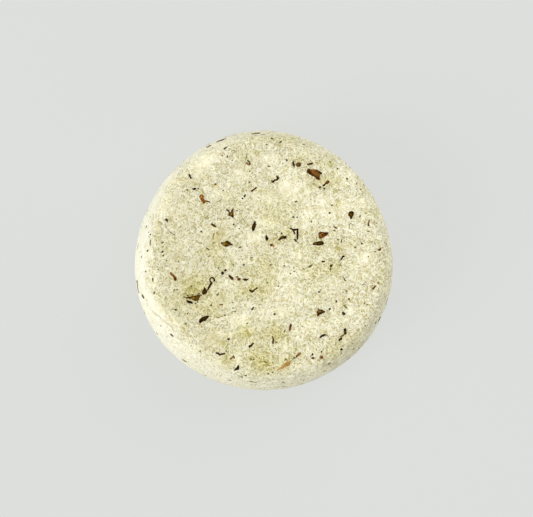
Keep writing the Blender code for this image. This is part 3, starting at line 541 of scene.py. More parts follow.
# =================================================================== materials
def soap_material():
    t = Tree("soap_cream_olive")
    p = t.mm()
    # Slow drift of the paste between cream and a greyer, greener cream
    drift = t.noise(p, 0.085, 3.0, 0.55, 0.4)
    clouds = t.noise(p, 0.34, 3.0, 0.6, 0.8)
    grain = t.noise(p, 1.5, 3.0, 0.66, 0.6)
    fine_grain = t.noise(p, 3.4, 2.0, 0.65, 0.3)
    colour = t.mixed(t.ramp(drift, 0.36, 0.64), linear(242, 229, 169), linear(251, 240, 192))
    colour = t.mixed(t.ramp(clouds, 0.42, 0.66, 0.0, 0.70), colour, linear(222, 210, 154))
    # Steeped herb: olive stains with ragged edges; the grey layer is partly painted shade on the left inner slope, and
    # the brown layer also carries painted contact shade round the pieces
    ragged = t.math("ADD", t.math("MULTIPLY", clouds, 0.9), t.math("MULTIPLY", grain, 0.7))
    for name, tone, most in (
        ("stain_olive", linear(174, 165, 58), 1.0), ("brown_stain_and_contact_shade", linear(186, 146, 84), 0.90),
        ("grey_stain_and_painted_shade", linear(144, 138, 90), 0.80),
    ):
        amount = t.math("MULTIPLY", t.attribute(name), t.ramp(ragged, 0.50, 1.05, 0.35, 1.60), clamp=True)
        colour = t.mixed(t.math("MULTIPLY", amount, most), colour, tone)
    # The ground between the crystals: patchy, darker and more olive
    pale = t.math("MULTIPLY", t.attribute("pale"), t.ramp(ragged, 0.35, 0.95, 0.5, 1.3), clamp=True)
    held = t.math("SUBTRACT", 1.0, t.math("MULTIPLY", pale, 0.75))
    held = t.math("MULTIPLY", held, t.math("SUBTRACT", 1.0, t.math("MULTIPLY", t.attribute("grey_stain_and_painted_shade"), 0.9), clamp=True))
    mottle = t.noise(p, 0.72, 2.0, 0.5, 0.5)
    mottle = t.math("MULTIPLY", t.math("MULTIPLY", t.ramp(mottle, 0.52, 0.66), 0.42), held)
    colour = t.mixed(mottle, colour, linear(202, 194, 124))
    ground = t.math("MULTIPLY", t.math("MULTIPLY", t.ramp(grain, 0.34, 0.58, 1.0, 0.0), 0.54), held)
    colour = t.mixed(ground, colour, linear(188, 178, 100))
    pores = t.math("MULTIPLY", t.math("MULTIPLY", t.ramp(fine_grain, 0.34, 0.48, 1.0, 0.0), 0.36), held)
    colour = t.mixed(pores, colour, linear(158, 145, 74))
    # Crystals: short pale needles lying every way, with darker grooves between them
    warp = t.vector("ADD", p, t.mapping(t.noise(p, 0.55, 2.0, 0.5, 0.0, True), (1.7, 1.7, 1.7)))
    grooves = None
    for turn, seed in ((24, 31.7), (66, 37.3), (104, 43.1), (142, 49.9)):
        strokes = t.noise(t.mapping(warp, (0.5, 2.8, 2.0), (0, 0, turn), (seed, seed, seed)), 1.0, 1.0, 0.5)
        strokes = t.ramp(strokes, 0.58, 0.68)
        grooves = strokes if grooves is None else t.math("MAXIMUM", grooves, strokes)
    grooves = t.math("MULTIPLY", t.math("MULTIPLY", grooves, 0.74), held)
    colour = t.mixed(grooves, colour, linear(160, 147, 78))
    needles = None
    for turn, seed in ((8, 1.7), (45, 5.1), (83, 9.3), (121, 13.9), (156, 21.3)):
        strokes = t.noise(t.mapping(warp, (0.52, 3.3, 2.2), (0, 0, turn), (seed, seed, seed)), 1.0, 1.0, 0.5)
        strokes = t.ramp(strokes, 0.548, 0.632)
        needles = strokes if needles is None else t.math("MAXIMUM", needles, strokes)
    needles = t.math("MULTIPLY", needles, t.math("SUBTRACT", 1.0, t.math("MULTIPLY", t.attribute("grey_stain_and_painted_shade"), 0.85)))
    rim_wear_and_highlight = t.attribute("rim_wear_and_highlight")
    # Partly painted highlight: the pale layer whitens lit ridges and the lit side of the rim as well as cleaner paste.
    colour = t.mixed(t.math("MULTIPLY", pale, 0.45), colour, linear(246, 240, 212))
    crystal = t.mixed(t.math("MULTIPLY", t.attribute("stain_olive"), 0.9), linear(255, 252, 226), linear(238, 228, 158))
    colour = t.mixed(t.math("MULTIPLY", needles, 0.90), colour, crystal)
    # Painted highlight: the rim is whitened most on the side facing the key light; only the faint all-round part is
    # wear.
    colour = t.mixed(t.math("MULTIPLY", rim_wear_and_highlight, 0.66), colour, linear(247, 246, 230))
    # Painted shade: the press crease is darkened in colour as well as cut into the surface.
    colour = t.mixed(t.math("MULTIPLY", t.attribute("crease"), 0.62), colour, linear(142, 130, 72))
    # Dust of ground herb: fine dots, most of them pale, a few of them dark
    bare = t.math("MULTIPLY", t.math("SUBTRACT", 1.0, t.math("MULTIPLY", rim_wear_and_highlight, 0.75)), held)
    cell = t.voronoi(p, 1.15, "F1")
    chance = t.add("ShaderNodeSeparateColor")
    t.link(t.voronoi(p, 1.15, "F1", 1.0, "Color"), chance.inputs[0])
    dots = t.math("MULTIPLY", t.ramp(cell, 0.10, 0.26, 1.0, 0.0), t.ramp(chance.outputs[0], 0.62, 0.95))
    colour = t.mixed(t.math("MULTIPLY", t.math("MULTIPLY", dots, bare), 0.60), colour, linear(132, 120, 70))
    small = t.voronoi(p, 2.2, "F1")
    pick = t.add("ShaderNodeSeparateColor")
    t.link(t.voronoi(p, 2.2, "F1", 1.0, "Color"), pick.inputs[0])
    dust = t.math("MULTIPLY", t.ramp(small, 0.14, 0.38, 1.0, 0.0), t.ramp(pick.outputs[1], 0.55, 0.9))
    colour = t.mixed(t.math("MULTIPLY", t.math("MULTIPLY", dust, bare), 0.45), colour, linear(156, 144, 92))
    t.link(colour, t.shader.inputs["Base Color"])
    rough = t.math("ADD", t.math("MULTIPLY", needles, -0.10), t.math("MULTIPLY", grain, 0.22))
    t.link(t.math("ADD", rough, 0.55), t.shader.inputs["Roughness"])
    # Relief: needles stand up a little, the ground between them is pitted
    relief = t.math("ADD", t.math("MULTIPLY", needles, 0.7), t.math("MULTIPLY", grain, 1.0))
    relief = t.math("ADD", relief, t.math("MULTIPLY", t.math("ADD", t.math("ADD", dots, pores), grooves), -0.6))
    fine = t.bump(t.math("MULTIPLY", relief, bare), 0.8, 0.00026)
    t.link(t.bump(clouds, 0.6, 0.0005, fine), t.shader.inputs["Normal"])
    t.shader.inputs["Subsurface Weight"].default_value = 0.10
    t.shader.inputs["Subsurface Radius"].default_value = (1.0, 0.8, 0.45)
    t.shader.inputs["Subsurface Scale"].default_value = 0.0009
    t.shader.inputs["Specular IOR Level"].default_value = 0.28
    t.shader.inputs["Sheen Weight"].default_value = 0.06
    t.shader.inputs["Sheen Roughness"].default_value = 0.5
    return t.material


def plant_material(name, dark, middle, light, rough, streak=(0.5, 3.2, 1.2)):
    """Dried plant: its own dark, middle and light parts, fibres along the piece, soap dust in patches."""
    t = Tree(name)
    grain = t.attribute("grain", vector=True)
    seed = t.attribute("seed")
    shifted = t.vector("ADD", grain, t.vector("MULTIPLY", (7.3, 3.1, 5.7), seed))
    fibres = t.noise(t.mapping(shifted, streak), 1.3, 4.0, 0.65, 0.4)
    blotch = t.noise(shifted, 1.8, 3.0, 0.6, 0.6)
    tone = t.math("ADD", t.attribute("tone"), t.math("MULTIPLY", t.math("SUBTRACT", fibres, 0.5), 1.7))
    tone = t.math("ADD", tone, t.math("MULTIPLY", t.math("SUBTRACT", blotch, 0.5), 1.2))
    colour = t.mixed(t.ramp(tone, 0.0, 0.5), dark, middle)
    colour = t.mixed(t.ramp(tone, 0.5, 1.0), colour, light)
    film = t.math("MULTIPLY", t.ramp(t.noise(shifted, 2.6, 3.0, 0.6, 0.4), 0.60, 0.76), 0.22)
    colour = t.mixed(film, colour, linear(204, 192, 140))
    t.link(colour, t.shader.inputs["Base Color"])
    t.link(t.ramp(fibres, 0.3, 0.7, rough - 0.12, rough + 0.12), t.shader.inputs["Roughness"])
    height = t.math("ADD", fibres, t.math("MULTIPLY", blotch, 0.6))
    t.link(t.bump(height, 0.7, 0.00014), t.shader.inputs["Normal"])
    t.shader.inputs["Specular IOR Level"].default_value = 0.02
    return t.material


MATERIALS = {
    "bark_brown": plant_material(
        "bark_brown_fine", linear(44, 26, 2), linear(116, 76, 30), linear(160, 110, 54), 0.68),
    "husk_dark": plant_material(
        "husk_dark_fine", linear(32, 19, 0), linear(74, 50, 8), linear(150, 106, 46), 0.58),
    "petal_red": plant_material(
        "petal_red_fine", linear(70, 40, 0), linear(132, 84, 22), linear(194, 136, 56), 0.62, (0.7, 2.0, 1.0)),
    "stem_tan": plant_material(
        "stem_tan_fine", linear(132, 96, 42), linear(182, 142, 78), linear(214, 186, 122), 0.70),
    "leaf_olive": plant_material(
        "leaf_olive_fine", linear(50, 30, 0), linear(94, 68, 16), linear(148, 124, 54), 0.66, (0.8, 1.8, 1.0)),
}
PALE_PETAL = plant_material(
    "petal_pale_fine", linear(84, 60, 30), linear(204, 190, 138), linear(232, 224, 184), 0.6, (0.8, 1.8, 1.0))


def speck_material(name, tones, rough=0.7):
    """Tiny pieces: one of a few tones for each, by its own seed, mottled within the piece."""
    t = Tree(name)
    p = t.mm()
    seed = t.attribute("seed")
    mottle = t.noise(p, 3.2, 3.0, 0.6, 0.3)
    seed = t.math("ADD", seed, t.math("MULTIPLY", t.math("SUBTRACT", mottle, 0.5), 0.5))
    colour = t.mixed(t.ramp(seed, 0.0, 0.33), tones[0], tones[1])
    colour = t.mixed(t.ramp(seed, 0.33, 0.66), colour, tones[2])
    colour = t.mixed(t.ramp(seed, 0.66, 1.0), colour, tones[3])
    t.link(colour, t.shader.inputs["Base Color"])
    t.link(t.ramp(mottle, 0.3, 0.7, rough - 0.1, rough + 0.12), t.shader.inputs["Roughness"])
    t.link(t.bump(mottle, 0.5, 0.00006), t.shader.inputs["Normal"])
    t.shader.inputs["Specular IOR Level"].default_value = 0.02
    return t.material


# =================================================================== pieces
def link(thing):
    bpy.context.scene.collection.objects.link(thing)
    return thing


def store(mesh, name, values, kind="FLOAT"):
    attribute = mesh.attributes.new(name, kind, "POINT")
    if kind == "FLOAT":
        attribute.data.foreach_set("value", np.asarray(values, np.float32))
    else:
        attribute.data.foreach_set("vector", np.asarray(values, np.float32).reshape(-1))


def mesh_co(mesh):
    co = np.empty(len(mesh.vertices) * 3, np.float32)
    mesh.vertices.foreach_get("co", co)
    return co.reshape(-1, 3).astype(float)


def mesh_no(mesh):
    no = np.empty(len(mesh.vertices) * 3, np.float32)
    mesh.vertices.foreach_get("normal", no)
    return no.reshape(-1, 3).astype(float)


def near_chips(points, reach):
    """For each point, the smallest distance past the edge of any fragment's box, in mm, at most reach."""
    found = np.full(len(points), reach)
    for chip in CHIPS.values():
        close = np.linalg.norm(points - chip.middle, axis=1) < chip.half.max() + reach
        if not close.any():
            continue
        local = chip.to_local(points[close])
        # An ellipse-like distance in the plane of the piece
        u, v = local[:, 0] / chip.half[0], local[:, 1] / chip.half[1]
        r = np.hypot(u, v)
        size = np.hypot(local[:, 0], local[:, 1])
        past = size * (1.0 - 1.0 / np.maximum(r, 1e-6))
        found[close] = np.minimum(found[close], past)
    return found


# An oblique crease of the press at the lower left, and short thin ones near the edge: layout x, y, strength
CREASES = (
    ((-34.4, -5.2, 0.5), (-33.2, -8.2, 0.7), (-32.0, -10.6, 1.0), (-31.4, -12.2, 1.0), (-29.6, -14.4, 1.0),
     (-28.4, -15.3, 1.0), (-27.0, -16.6, 0.9), (-25.1, -17.9, 0.7), (-23.9, -19.8, 0.3)),
    ((-9.0, 33.0, 0.3), (-3.0, 33.9, 0.4), (4.0, 34.0, 0.3)),
    ((8.0, 33.4, 0.3), (11.0, 32.8, 0.4), (13.0, 31.7, 0.3)),
    ((1.0, -34.4, 0.3), (3.4, -34.5, 0.4), (5.5, -34.4, 0.3)),
    ((17.9, -28.0, 0.3), (20.5, -28.1, 0.3)),
)


def crease_paths():
    for rows in CREASES:
        yield np.array([list(lay_point(x, y)[0]) + [strength] for x, y, strength in rows])


def near_creases(points):
    """Distance in mm to the nearest crease, its strength there, and whether the point is inwards of it."""
    best, power, inner = np.full(len(points), 9.0), np.zeros(len(points)), np.zeros(len(points))
    for path in crease_paths():
        for a, b in zip(path[:-1], path[1:]):
            run = b[:3] - a[:3]
            t = np.clip(((points - a[:3]) @ run) / run.dot(run), 0.0, 1.0)
            foot = a[:3] + t[:, None] * run
            d = np.linalg.norm(points - foot, axis=1)
            closer = d < best
            best = np.where(closer, d, best)
            power = np.where(closer, a[3] + t * (b[3] - a[3]), power)
            inwards = np.hypot(points[:, 0], points[:, 1]) < np.hypot(foot[:, 0], foot[:, 1])
            inner = np.where(closer, inwards, inner)
    return best, power, inner


def soap_body():
    bm = bmesh.new()
    vertices = [bm.verts.new(Vector(p)) for p in POINTS]
    for face in FACES:
        bm.faces.new([vertices[i] for i in face])
    bm.normal_update()
    # Finer cells where a fragment lies, so that the soap can rise round its edge
    centres = np.array([f.calc_center_median() for f in bm.faces])
    past = near_chips(centres, 0.8)
    bm.faces.ensure_lookup_table()
    folds, power, _ = near_creases(centres)
    edges = {e for f, d, c in zip(bm.faces, past, folds) if d < 0.45 or c < 0.9 for e in f.edges}
    bmesh.ops.subdivide_edges(bm, edges=list(edges), cuts=2, use_grid_fill=True)
    bmesh.ops.triangulate(bm, faces=[f for f in bm.faces if len(f.verts) > 4])
    bm.normal_update()
    mesh = bpy.data.meshes.new("soap_puck_fine")
    bm.to_mesh(mesh)
    bm.free()
    points, normals = mesh_co(mesh), mesh_no(mesh)
    # Pressed and handled surface: slow lumps, thumb-scale waves, grain, and scattered pits
    flat = smooth(points[:, 2] / 2.5)
    rise = 0.16 * noise(points, 8.0, 3) + 0.075 * noise(points, 3.1, 5) + 0.035 * noise(points, 1.35, 8)
    rise += 0.016 * noise(points, 0.62, 9)
    pits = smooth((noise(points, 1.5, 12) - 0.52) / 0.3)
    rise -= 0.11 * pits
    crumbs = smooth((noise(points, 1.1, 15) - 0.55) / 0.3)
    rise += 0.05 * crumbs
    past = near_chips(points, 1.2)
    lip = np.exp(-(((past - 0.08) / 0.16) ** 2)) * (0.05 + 0.07 * noise(points, 0.7, 21))
    hollow = np.exp(-(((past - 0.40) / 0.25) ** 2)) * -0.035
    inside = smooth(-past / 0.35) * -0.10
    rise = rise * flat * (1.0 - 0.6 * np.exp(-((past / 0.5) ** 2))) + lip + hollow + inside
    folds, power, inner = near_creases(points)
    wander = 1.0 + 0.5 * noise(points, 1.6, 61)
    fold = -0.34 * np.exp(-((folds / (0.24 * wander)) ** 2))
    fold += np.where(inner > 0, 0.24, 0.08) * np.exp(-(((folds - 0.60) / 0.34) ** 2))
    rise += power * fold
    points = points + normals * rise[:, None]
    points[:, 2] = np.maximum(points[:, 2], 0.0)
    mesh.vertices.foreach_set("co", (points * MM).astype(np.float32).reshape(-1))
    mesh.update()
    mesh.shade_smooth()
    store(mesh, "stain_olive", stain(points, OLIVE))
    # Grey layer: herb smears, and painted shade on the left inner slope.
    store(mesh, "grey_stain_and_painted_shade", stain(points, GREY_SMEARS_AND_SHADE))
    # Pale layer: cleaner paste, and painted highlight on lit ridges and the lit side of the rim.
    store(mesh, "pale", stain(points, PALE_PASTE_AND_LIT))
    # Painted shade along the press crease, strongest on the fold line.
    painted_crease_shade = power * np.exp(-((folds / 0.34) ** 2)) * (0.75 + 0.35 * noise(points, 1.2, 62))
    store(mesh, "crease", np.clip(painted_crease_shade, 0.0, 1.0))
    # Rim paleness: slight wear all round, and a painted highlight on the side facing the key light.
    store(mesh, "rim_wear_and_highlight", worn_and_lit_rim(points))
    # Painted contact shade: a brown ring darkens the soap right round every piece, added to the brown stains.
    painted_contact_shade = np.exp(-((np.maximum(past, 0.0) / 0.45) ** 2)) * 0.30
    store(mesh, "brown_stain_and_contact_shade", np.maximum(stain(points, BROWN), painted_contact_shade))
    thing = link(bpy.data.objects.new("soap_puck_fine", mesh))
    thing.data.materials.append(SOAP)
    return thing


def fine_chip(name, slot, index):
    """A CAD fragment made over: the same piece, in the same place, with broken edges, curl and fibres."""
    chip = CHIPS[name]
    bm = bmesh.new()
    bm.from_mesh(NODES[name].data)
    bmesh.ops.remove_doubles(bm, verts=bm.verts, dist=1e-6)
    bmesh.ops.subdivide_edges(bm, edges=list(bm.edges), cuts=2, use_grid_fill=True, smooth=0.35)
    bmesh.ops.triangulate(bm, faces=[f for f in bm.faces if len(f.verts) > 4])
    bm.normal_update()
    mesh = bpy.data.meshes.new(name + "_fine")
    bm.to_mesh(mesh)
    bm.free()
    points, normals = mesh_co(mesh) / MM, mesh_no(mesh)
    local = chip.to_local(points)
    half = np.maximum(chip.half, 0.05)
    reach = np.hypot(local[:, 0] / half[0], local[:, 1] / half[1])
    side = np.array(chip.out)
    flat_normals = normals - np.outer(normals @ side, side)
    shift = points + index * 13.7
    ragged = 0.10 * noise(shift, 0.45, 31) + 0.05 * noise(shift, 0.2, 32)
    points += flat_normals * ragged[:, None] * min(1.0, half[1] / 0.45)
    fibres = noise(np.stack([local[:, 0] * 0.35, local[:, 1], local[:, 2] * 0.5], 1) + index * 7.1, 0.22, 33)
    top = smooth((local[:, 2] / half[2] + 0.2) / 0.6)
    points += np.outer(top * (0.045 * fibres + 0.04 * noise(shift, 0.8, 34)), side)
    if slot in ("leaf_olive", "petal_red", "stem_tan"):
        curl = 0.10 * (reach ** 2) * np.sin(index * 2.1 + np.arctan2(local[:, 1], local[:, 0]) * 1.0)
        points += np.outer(top * curl * min(1.0, half[0] / 1.2), side)
    points[:, 2] = np.maximum(points[:, 2], 0.02)
    mesh.vertices.foreach_set("co", (points * MM).astype(np.float32).reshape(-1))
    mesh.update()
    mesh.shade_smooth()
    local = chip.to_local(points)
    store(mesh, "grain", local, "FLOAT_VECTOR")
    store(mesh, "seed", np.full(len(points), index * 0.37 % 5.0 + 0.1))
    out = np.clip(np.hypot(local[:, 0] / half[0], local[:, 1] / half[1]), 0.0, 1.0)
    store(mesh, "tone", 0.5 - 0.45 * smooth((out - 0.55) / 0.45))
    thing = link(bpy.data.objects.new(name + "_fine", mesh))
    thing.data.materials.append(MATERIALS[slot])
    return thing


class Heap:
    """Many tiny closed pieces in one mesh, each with a seed that picks its tone."""

    def __init__(self):
        self.points, self.faces, self.seeds = [], [], []

    def add(self, points, faces, seed):
        start = len(self.points)
        self.points += points
        self.faces += [tuple(start + i for i in face) for face in faces]
        self.seeds += [seed] * len(points)

    def speck(self, tree, at, normal, heading, length, width, rng, seed, stands=0.05):
        """A crumb of leaf or husk, lens-like, half sunk in the soap."""
        u = Vector(heading)
        u = (u - normal * u.dot(normal)).normalized()
        v = normal.cross(u)
        n = 7
        ring = []
        for k in range(n):
            a = 2 * math.pi * k / n + rng.uniform(-0.25, 0.25)
            r = rng.uniform(0.78, 1.12)
            point = at + u * (math.cos(a) * r * length / 2) + v * (math.sin(a) * r * width / 2)
            hit, _, _, _ = tree.find_nearest(point)
            ring.append(hit + normal * 0.01)
        top = at + normal * stands
        bottom = at - normal * max(0.06, 0.3 * width)
        points = ring + [top, bottom]
        faces = []
        for k in range(n):
            faces.append((k, (k + 1) % n, n))
            faces.append(((k + 1) % n, k, n + 1))
        self.add(points, faces, seed)

    def fibre(self, tree, path, width, seed):
        """A thread of plant fibre along a path, triangular in section, lying in the soap."""
        points, faces = [], []
        last = len(path) - 1
        dropped = []
        for p in path:
            hit, normal, _, _ = tree.find_nearest(p)
            dropped.append((hit, normal))
        for i, (hit, normal) in enumerate(dropped):
            a, b = dropped[max(0, i - 1)][0], dropped[min(last, i + 1)][0]
            along = (b - a).normalized()
            side = normal.cross(along).normalized()
            w = width * (0.35 if i in (0, last) else 1.0) / 2
            points += [hit + side * w - normal * 0.03, hit + normal * w * 1.0, hit - side * w - normal * 0.03]
        for i in range(last):
            for k in range(3):
                a, b = i * 3 + k, i * 3 + (k + 1) % 3
                faces.append((a, b, b + 3, a + 3))
        faces.append((2, 1, 0))
        faces.append(tuple(last * 3 + k for k in range(3)))
        self.add(points, faces, seed)

    def build(self, name, material):
        mesh = bpy.data.meshes.new(name)
        mesh.from_pydata([Vector((p.x, p.y, max(p.z, 0.0))) * MM for p in self.points], [], self.faces)
        bm = bmesh.new()
        bm.from_mesh(mesh)
        bmesh.ops.recalc_face_normals(bm, faces=bm.faces)
        bm.to_mesh(mesh)
        bm.free()
        mesh.update()
        mesh.shade_smooth()
        store(mesh, "seed", self.seeds)
        thing = link(bpy.data.objects.new(name, mesh))
        thing.data.materials.append(material)
        return thing


# Small pieces on the layout sheet: x, y, length, width, heading
DARK_SPECKS = (
    (-31.6, 13.5, 1.0, 0.5, 45), (-30.8, 11.9, 0.4, 0.35, 0), (-30.8, 7.1, 0.5, 0.4, 0), (-31.3, 7.7, 0.4, 0.35, 0),
    (-31.5, 2.7, 0.9, 0.5, 10), (-33.2, 1.0, 0.6, 0.4, 60), (-27.5, 2.4, 0.7, 0.5, 20), (-27.3, 1.3, 0.5, 0.4, 0),
    (-17.0, 7.9, 0.5, 0.4, 0), (-17.75, 19.6, 0.4, 0.35, 0), (-30.1, -5.2, 1.1, 0.4, -80), (-29.75, -8.8, 0.8, 0.45, 45),
    (-32.05, -3.0, 0.45, 0.4, 0), (-19.6, -7.0, 0.4, 0.35, 0), (-18.45, -11.7, 0.4, 0.3, 0), (-23.9, -13.4, 0.8, 0.4, -15),
    (-20.7, -14.45, 0.4, 0.35, 0), (-32.3, -14.4, 0.7, 0.4, -50), (-29.0, -19.8, 1.1, 0.4, -50), (-10.4, 30.6, 1.2, 0.4, 45),
    (-10.3, 33.25, 0.6, 0.35, 0), (-9.85, 28.3, 0.7, 0.35, 90), (-13.1, 20.8, 0.6, 0.5, 20), (-5.1, 17.6, 0.9, 0.45, 50),
    (-5.7, 16.9, 0.5, 0.4, 0), (-8.1, 9.85, 0.5, 0.4, 0), (-6.4, 3.6, 0.8, 0.3, 40),
    (-5.35, -1.2, 0.6, 0.45, 0), (-2.95, -13.1, 1.2, 0.45, 60), 
    (-9.1, -32.6, 0.9, 0.5, 10), (-5.9, -31.7, 0.8, 0.5, 0), (-4.8, -31.35, 0.5, 0.4, 0), (-2.75, -33.1, 2.0, 0.45, -15),
    (2.3, 33.25, 0.65, 0.5, 0), (4.7, 32.3, 1.2, 0.42, 48), (10.95, 31.6, 0.9, 0.4, -22), (6.35, 27.3, 0.65, 0.45, 80),
    (18.05, 12.95, 0.6, 0.5, 30), (8.15, 11.85, 0.6, 0.45, -10), (4.95, 7.4, 0.5, 0.45, 0), 
    (15.45, 20.0, 0.75, 0.5, 25), (16.55, 19.6, 0.5, 0.45, 0), (16.3, -0.3, 1.0, 0.45, 0), (18.5, -1.35, 1.1, 0.5, 50),
    (18.2, -2.25, 0.5, 0.4, 60), (15.2, -8.55, 0.6, 0.5, 20), (3.05, -14.6, 0.6, 0.5, 30), (18.05, -13.2, 0.85, 0.5, 55),
    (30.6, -16.9, 0.95, 0.5, 50), (23.0, -26.7, 1.0, 0.4, 38), (27.15, -22.3, 0.65, 0.5, 70), (5.45, -33.15, 0.9, 0.45, -30),
    (8.45, -26.5, 0.5, 0.45, 0), (15.85, -24.8, 0.45, 0.4, 0), (22.8, 22.3, 0.5, 0.45, 0), (20.2, 25.05, 0.5, 0.4, 0),
    (26.8, 4.65, 0.55, 0.5, 0), (19.9, -11.1, 0.5, 0.6, 0), (23.3, -10.5, 0.6, 0.5, 50), (-9.5, -21.35, 0.7, 0.6, 0),
    (-12.2, -2.0, 0.45, 0.35, 0), (22.6, 25.3, 0.45, 0.4, 0), (-7.2, 13.6, 0.4, 0.35, 0), (-6.6, 8.7, 0.35, 0.3, 0),
    (24.6, -24.1, 0.6, 0.5, 0), (26.0, -23.9, 0.8, 0.4, 30), (-20.6, -9.6, 0.6, 0.3, 0), (-19.2, -9.3, 0.5, 0.3, 10),
    (-17.6, -9.0, 0.7, 0.35, 20), (-16.9, -9.5, 0.4, 0.3, 0), (-17.9, -11.3, 0.5, 0.3, 0), (-15.2, -8.0, 0.4, 0.3, 0),
    (-14.0, -6.2, 0.5, 0.3, 40), (-13.9, -4.6, 0.4, 0.3, 0),
)
OLIVE_SPECKS = (
    (-31.9, 9.2, 0.9, 0.6, 0), (-27.45, 4.9, 0.9, 0.4, 20), (-30.8, 4.9, 1.9, 0.4, 90), (-20.7, 19.2, 0.5, 0.4, 0),
    (-26.4, 0.0, 0.4, 0.35, 0), (-23.1, -0.3, 0.5, 0.4, 0), (-24.2, -7.95, 0.5, 0.45, 0), (-23.55, -7.9, 0.5, 0.45, 0),
    (-21.2, -17.2, 0.7, 0.5, 10), (-10.95, 19.1, 0.4, 0.35, 0), (-11.2, 28.7, 0.35, 0.3, 0), (-8.5, 27.3, 0.35, 0.3, 0),
    (-3.75, 24.3, 0.4, 0.35, 0), (-3.1, 23.8, 0.4, 0.3, 0), (-3.8, 21.3, 0.5, 0.4, 0), (0.8, 31.6, 0.45, 0.4, 0),
    (-15.2, 3.2, 1.2, 0.35, -35), (-14.7, 1.2, 0.9, 0.3, 10), (-13.65, 4.9, 0.4, 0.35, 0),
    (-4.4, 3.95, 0.35, 0.3, 0), (-3.1, 0.85, 0.5, 0.35, 0), (-8.2, -1.05, 0.35, 0.3, 0), 
    (-12.5, -9.3, 0.8, 0.5, 0), (-8.4, -11.45, 0.4, 0.35, 0), (-10.5, -14.9, 0.5, 0.4, 0), (-14.3, -12.2, 0.6, 0.5, 0),
    (-4.4, -17.1, 0.5, 0.4, 0), (-17.2, -24.7, 0.45, 0.4, 0), (-15.65, -31.3, 0.5, 0.35, 0), (-3.4, -26.9, 0.5, 0.45, 0),
    (-2.65, -26.9, 0.5, 0.4, 0), (-10.1, -24.7, 0.4, 0.35, 0), (0.5, -27.6, 0.9, 0.4, -45), (1.5, 25.7, 0.8, 0.45, -10),
    (9.2, 11.8, 0.45, 0.4, 0), (13.0, 10.6, 0.6, 0.4, 70), (18.6, 15.1, 0.7, 0.4, 10), (8.8, 16.0, 0.9, 0.4, 20),
    (5.7, -1.4, 0.5, 0.4, 0), (2.0, -1.2, 0.5, 0.4, 60), (7.35, -3.6, 0.5, 0.4, 0), (8.4, -3.0, 0.35, 0.3, 0),
    (12.8, -1.5, 1.4, 0.45, 30), (10.9, -2.2, 0.4, 0.35, 0), (4.1, -7.0, 0.45, 0.35, 0), (1.0, -6.0, 0.45, 0.4, 0),
    (5.8, -19.2, 0.9, 0.3, 60), (3.5, -22.3, 0.8, 0.4, 0), (6.1, -26.9, 0.8, 0.4, -20), (1.3, -30.8, 0.5, 0.5, 0),
    (2.5, -30.5, 0.5, 0.4, 0), (16.6, -30.1, 1.1, 0.45, 15), (10.9, -32.6, 0.5, 0.4, 40), (10.1, -32.5, 0.4, 0.35, 0),
    (25.4, 21.0, 0.5, 0.45, 0), (26.4, 19.4, 0.45, 0.4, 0), (18.15, 26.9, 0.5, 0.4, 0), (22.5, 26.4, 0.6, 0.45, 45),
    (27.3, 20.6, 1.1, 0.45, -60), (25.7, 22.8, 0.6, 0.45, -50), (23.7, 25.4, 1.3, 0.35, -52), (26.3, 12.1, 0.5, 0.4, 0),
    (30.8, 10.2, 0.45, 0.3, 0), (28.6, 7.9, 0.7, 0.35, 10), (19.3, 8.2, 0.55, 0.45, 0), (21.2, 5.3, 0.3, 1.0, 0),
    (20.3, 5.7, 0.6, 0.4, -20), (33.4, 4.6, 0.4, 0.7, 0), (33.0, 4.9, 0.3, 0.5, 0), (30.4, 2.4, 0.5, 0.4, 0),
    (28.6, 1.1, 0.4, 0.3, 0), (25.0, 3.6, 0.5, 0.4, 40), (22.2, -5.3, 0.9, 0.35, -45), (31.2, -6.1, 0.6, 0.45, 30),
    (22.3, -12.5, 1.4, 0.35, -38), (28.3, -12.0, 0.45, 0.4, 0), (27.5, -11.6, 0.5, 0.35, 20), (30.7, -15.3, 0.6, 0.4, 0),
    (27.7, -17.8, 0.5, 0.4, 0), (29.3, -18.1, 0.55, 0.45, 0), (5.5, -34.3, 0.5, 0.4, 0), (-8.25, -12.9, 0.4, 0.3, 0),
    (-28.6, -2.4, 0.4, 0.3, 0), (-26.5, 18.5, 0.35, 0.3, 0), (21.0, -1.2, 0.5, 0.35, -30), (21.2, -25.3, 0.45, 0.35, 0),
)
BROWN_SPECKS = (
    (-34.2, 3.9, 1.8, 0.4, 80), (-11.5, -12.0, 1.2, 0.3, 10), (-7.1, -4.45, 0.6, 0.4, 0),
    (19.6, 9.0, 1.3, 0.4, -35), (31.7, 2.95, 1.0, 0.5, 40),
    (14.9, -13.2, 0.5, 0.35, 0), (21.5, -20.6, 0.7, 0.35, 60), (17.9, -28.1, 1.1, 0.4, 0), (-14.8, 16.0, 0.8, 0.35, -30),
    (3.9, 22.9, 0.5, 0.35, 60), (-8.3, 14.0, 0.5, 0.3, 60), (-9.9, 13.8, 0.6, 0.3, -60), (22.6, -8.3, 0.5, 0.4, 0),
)
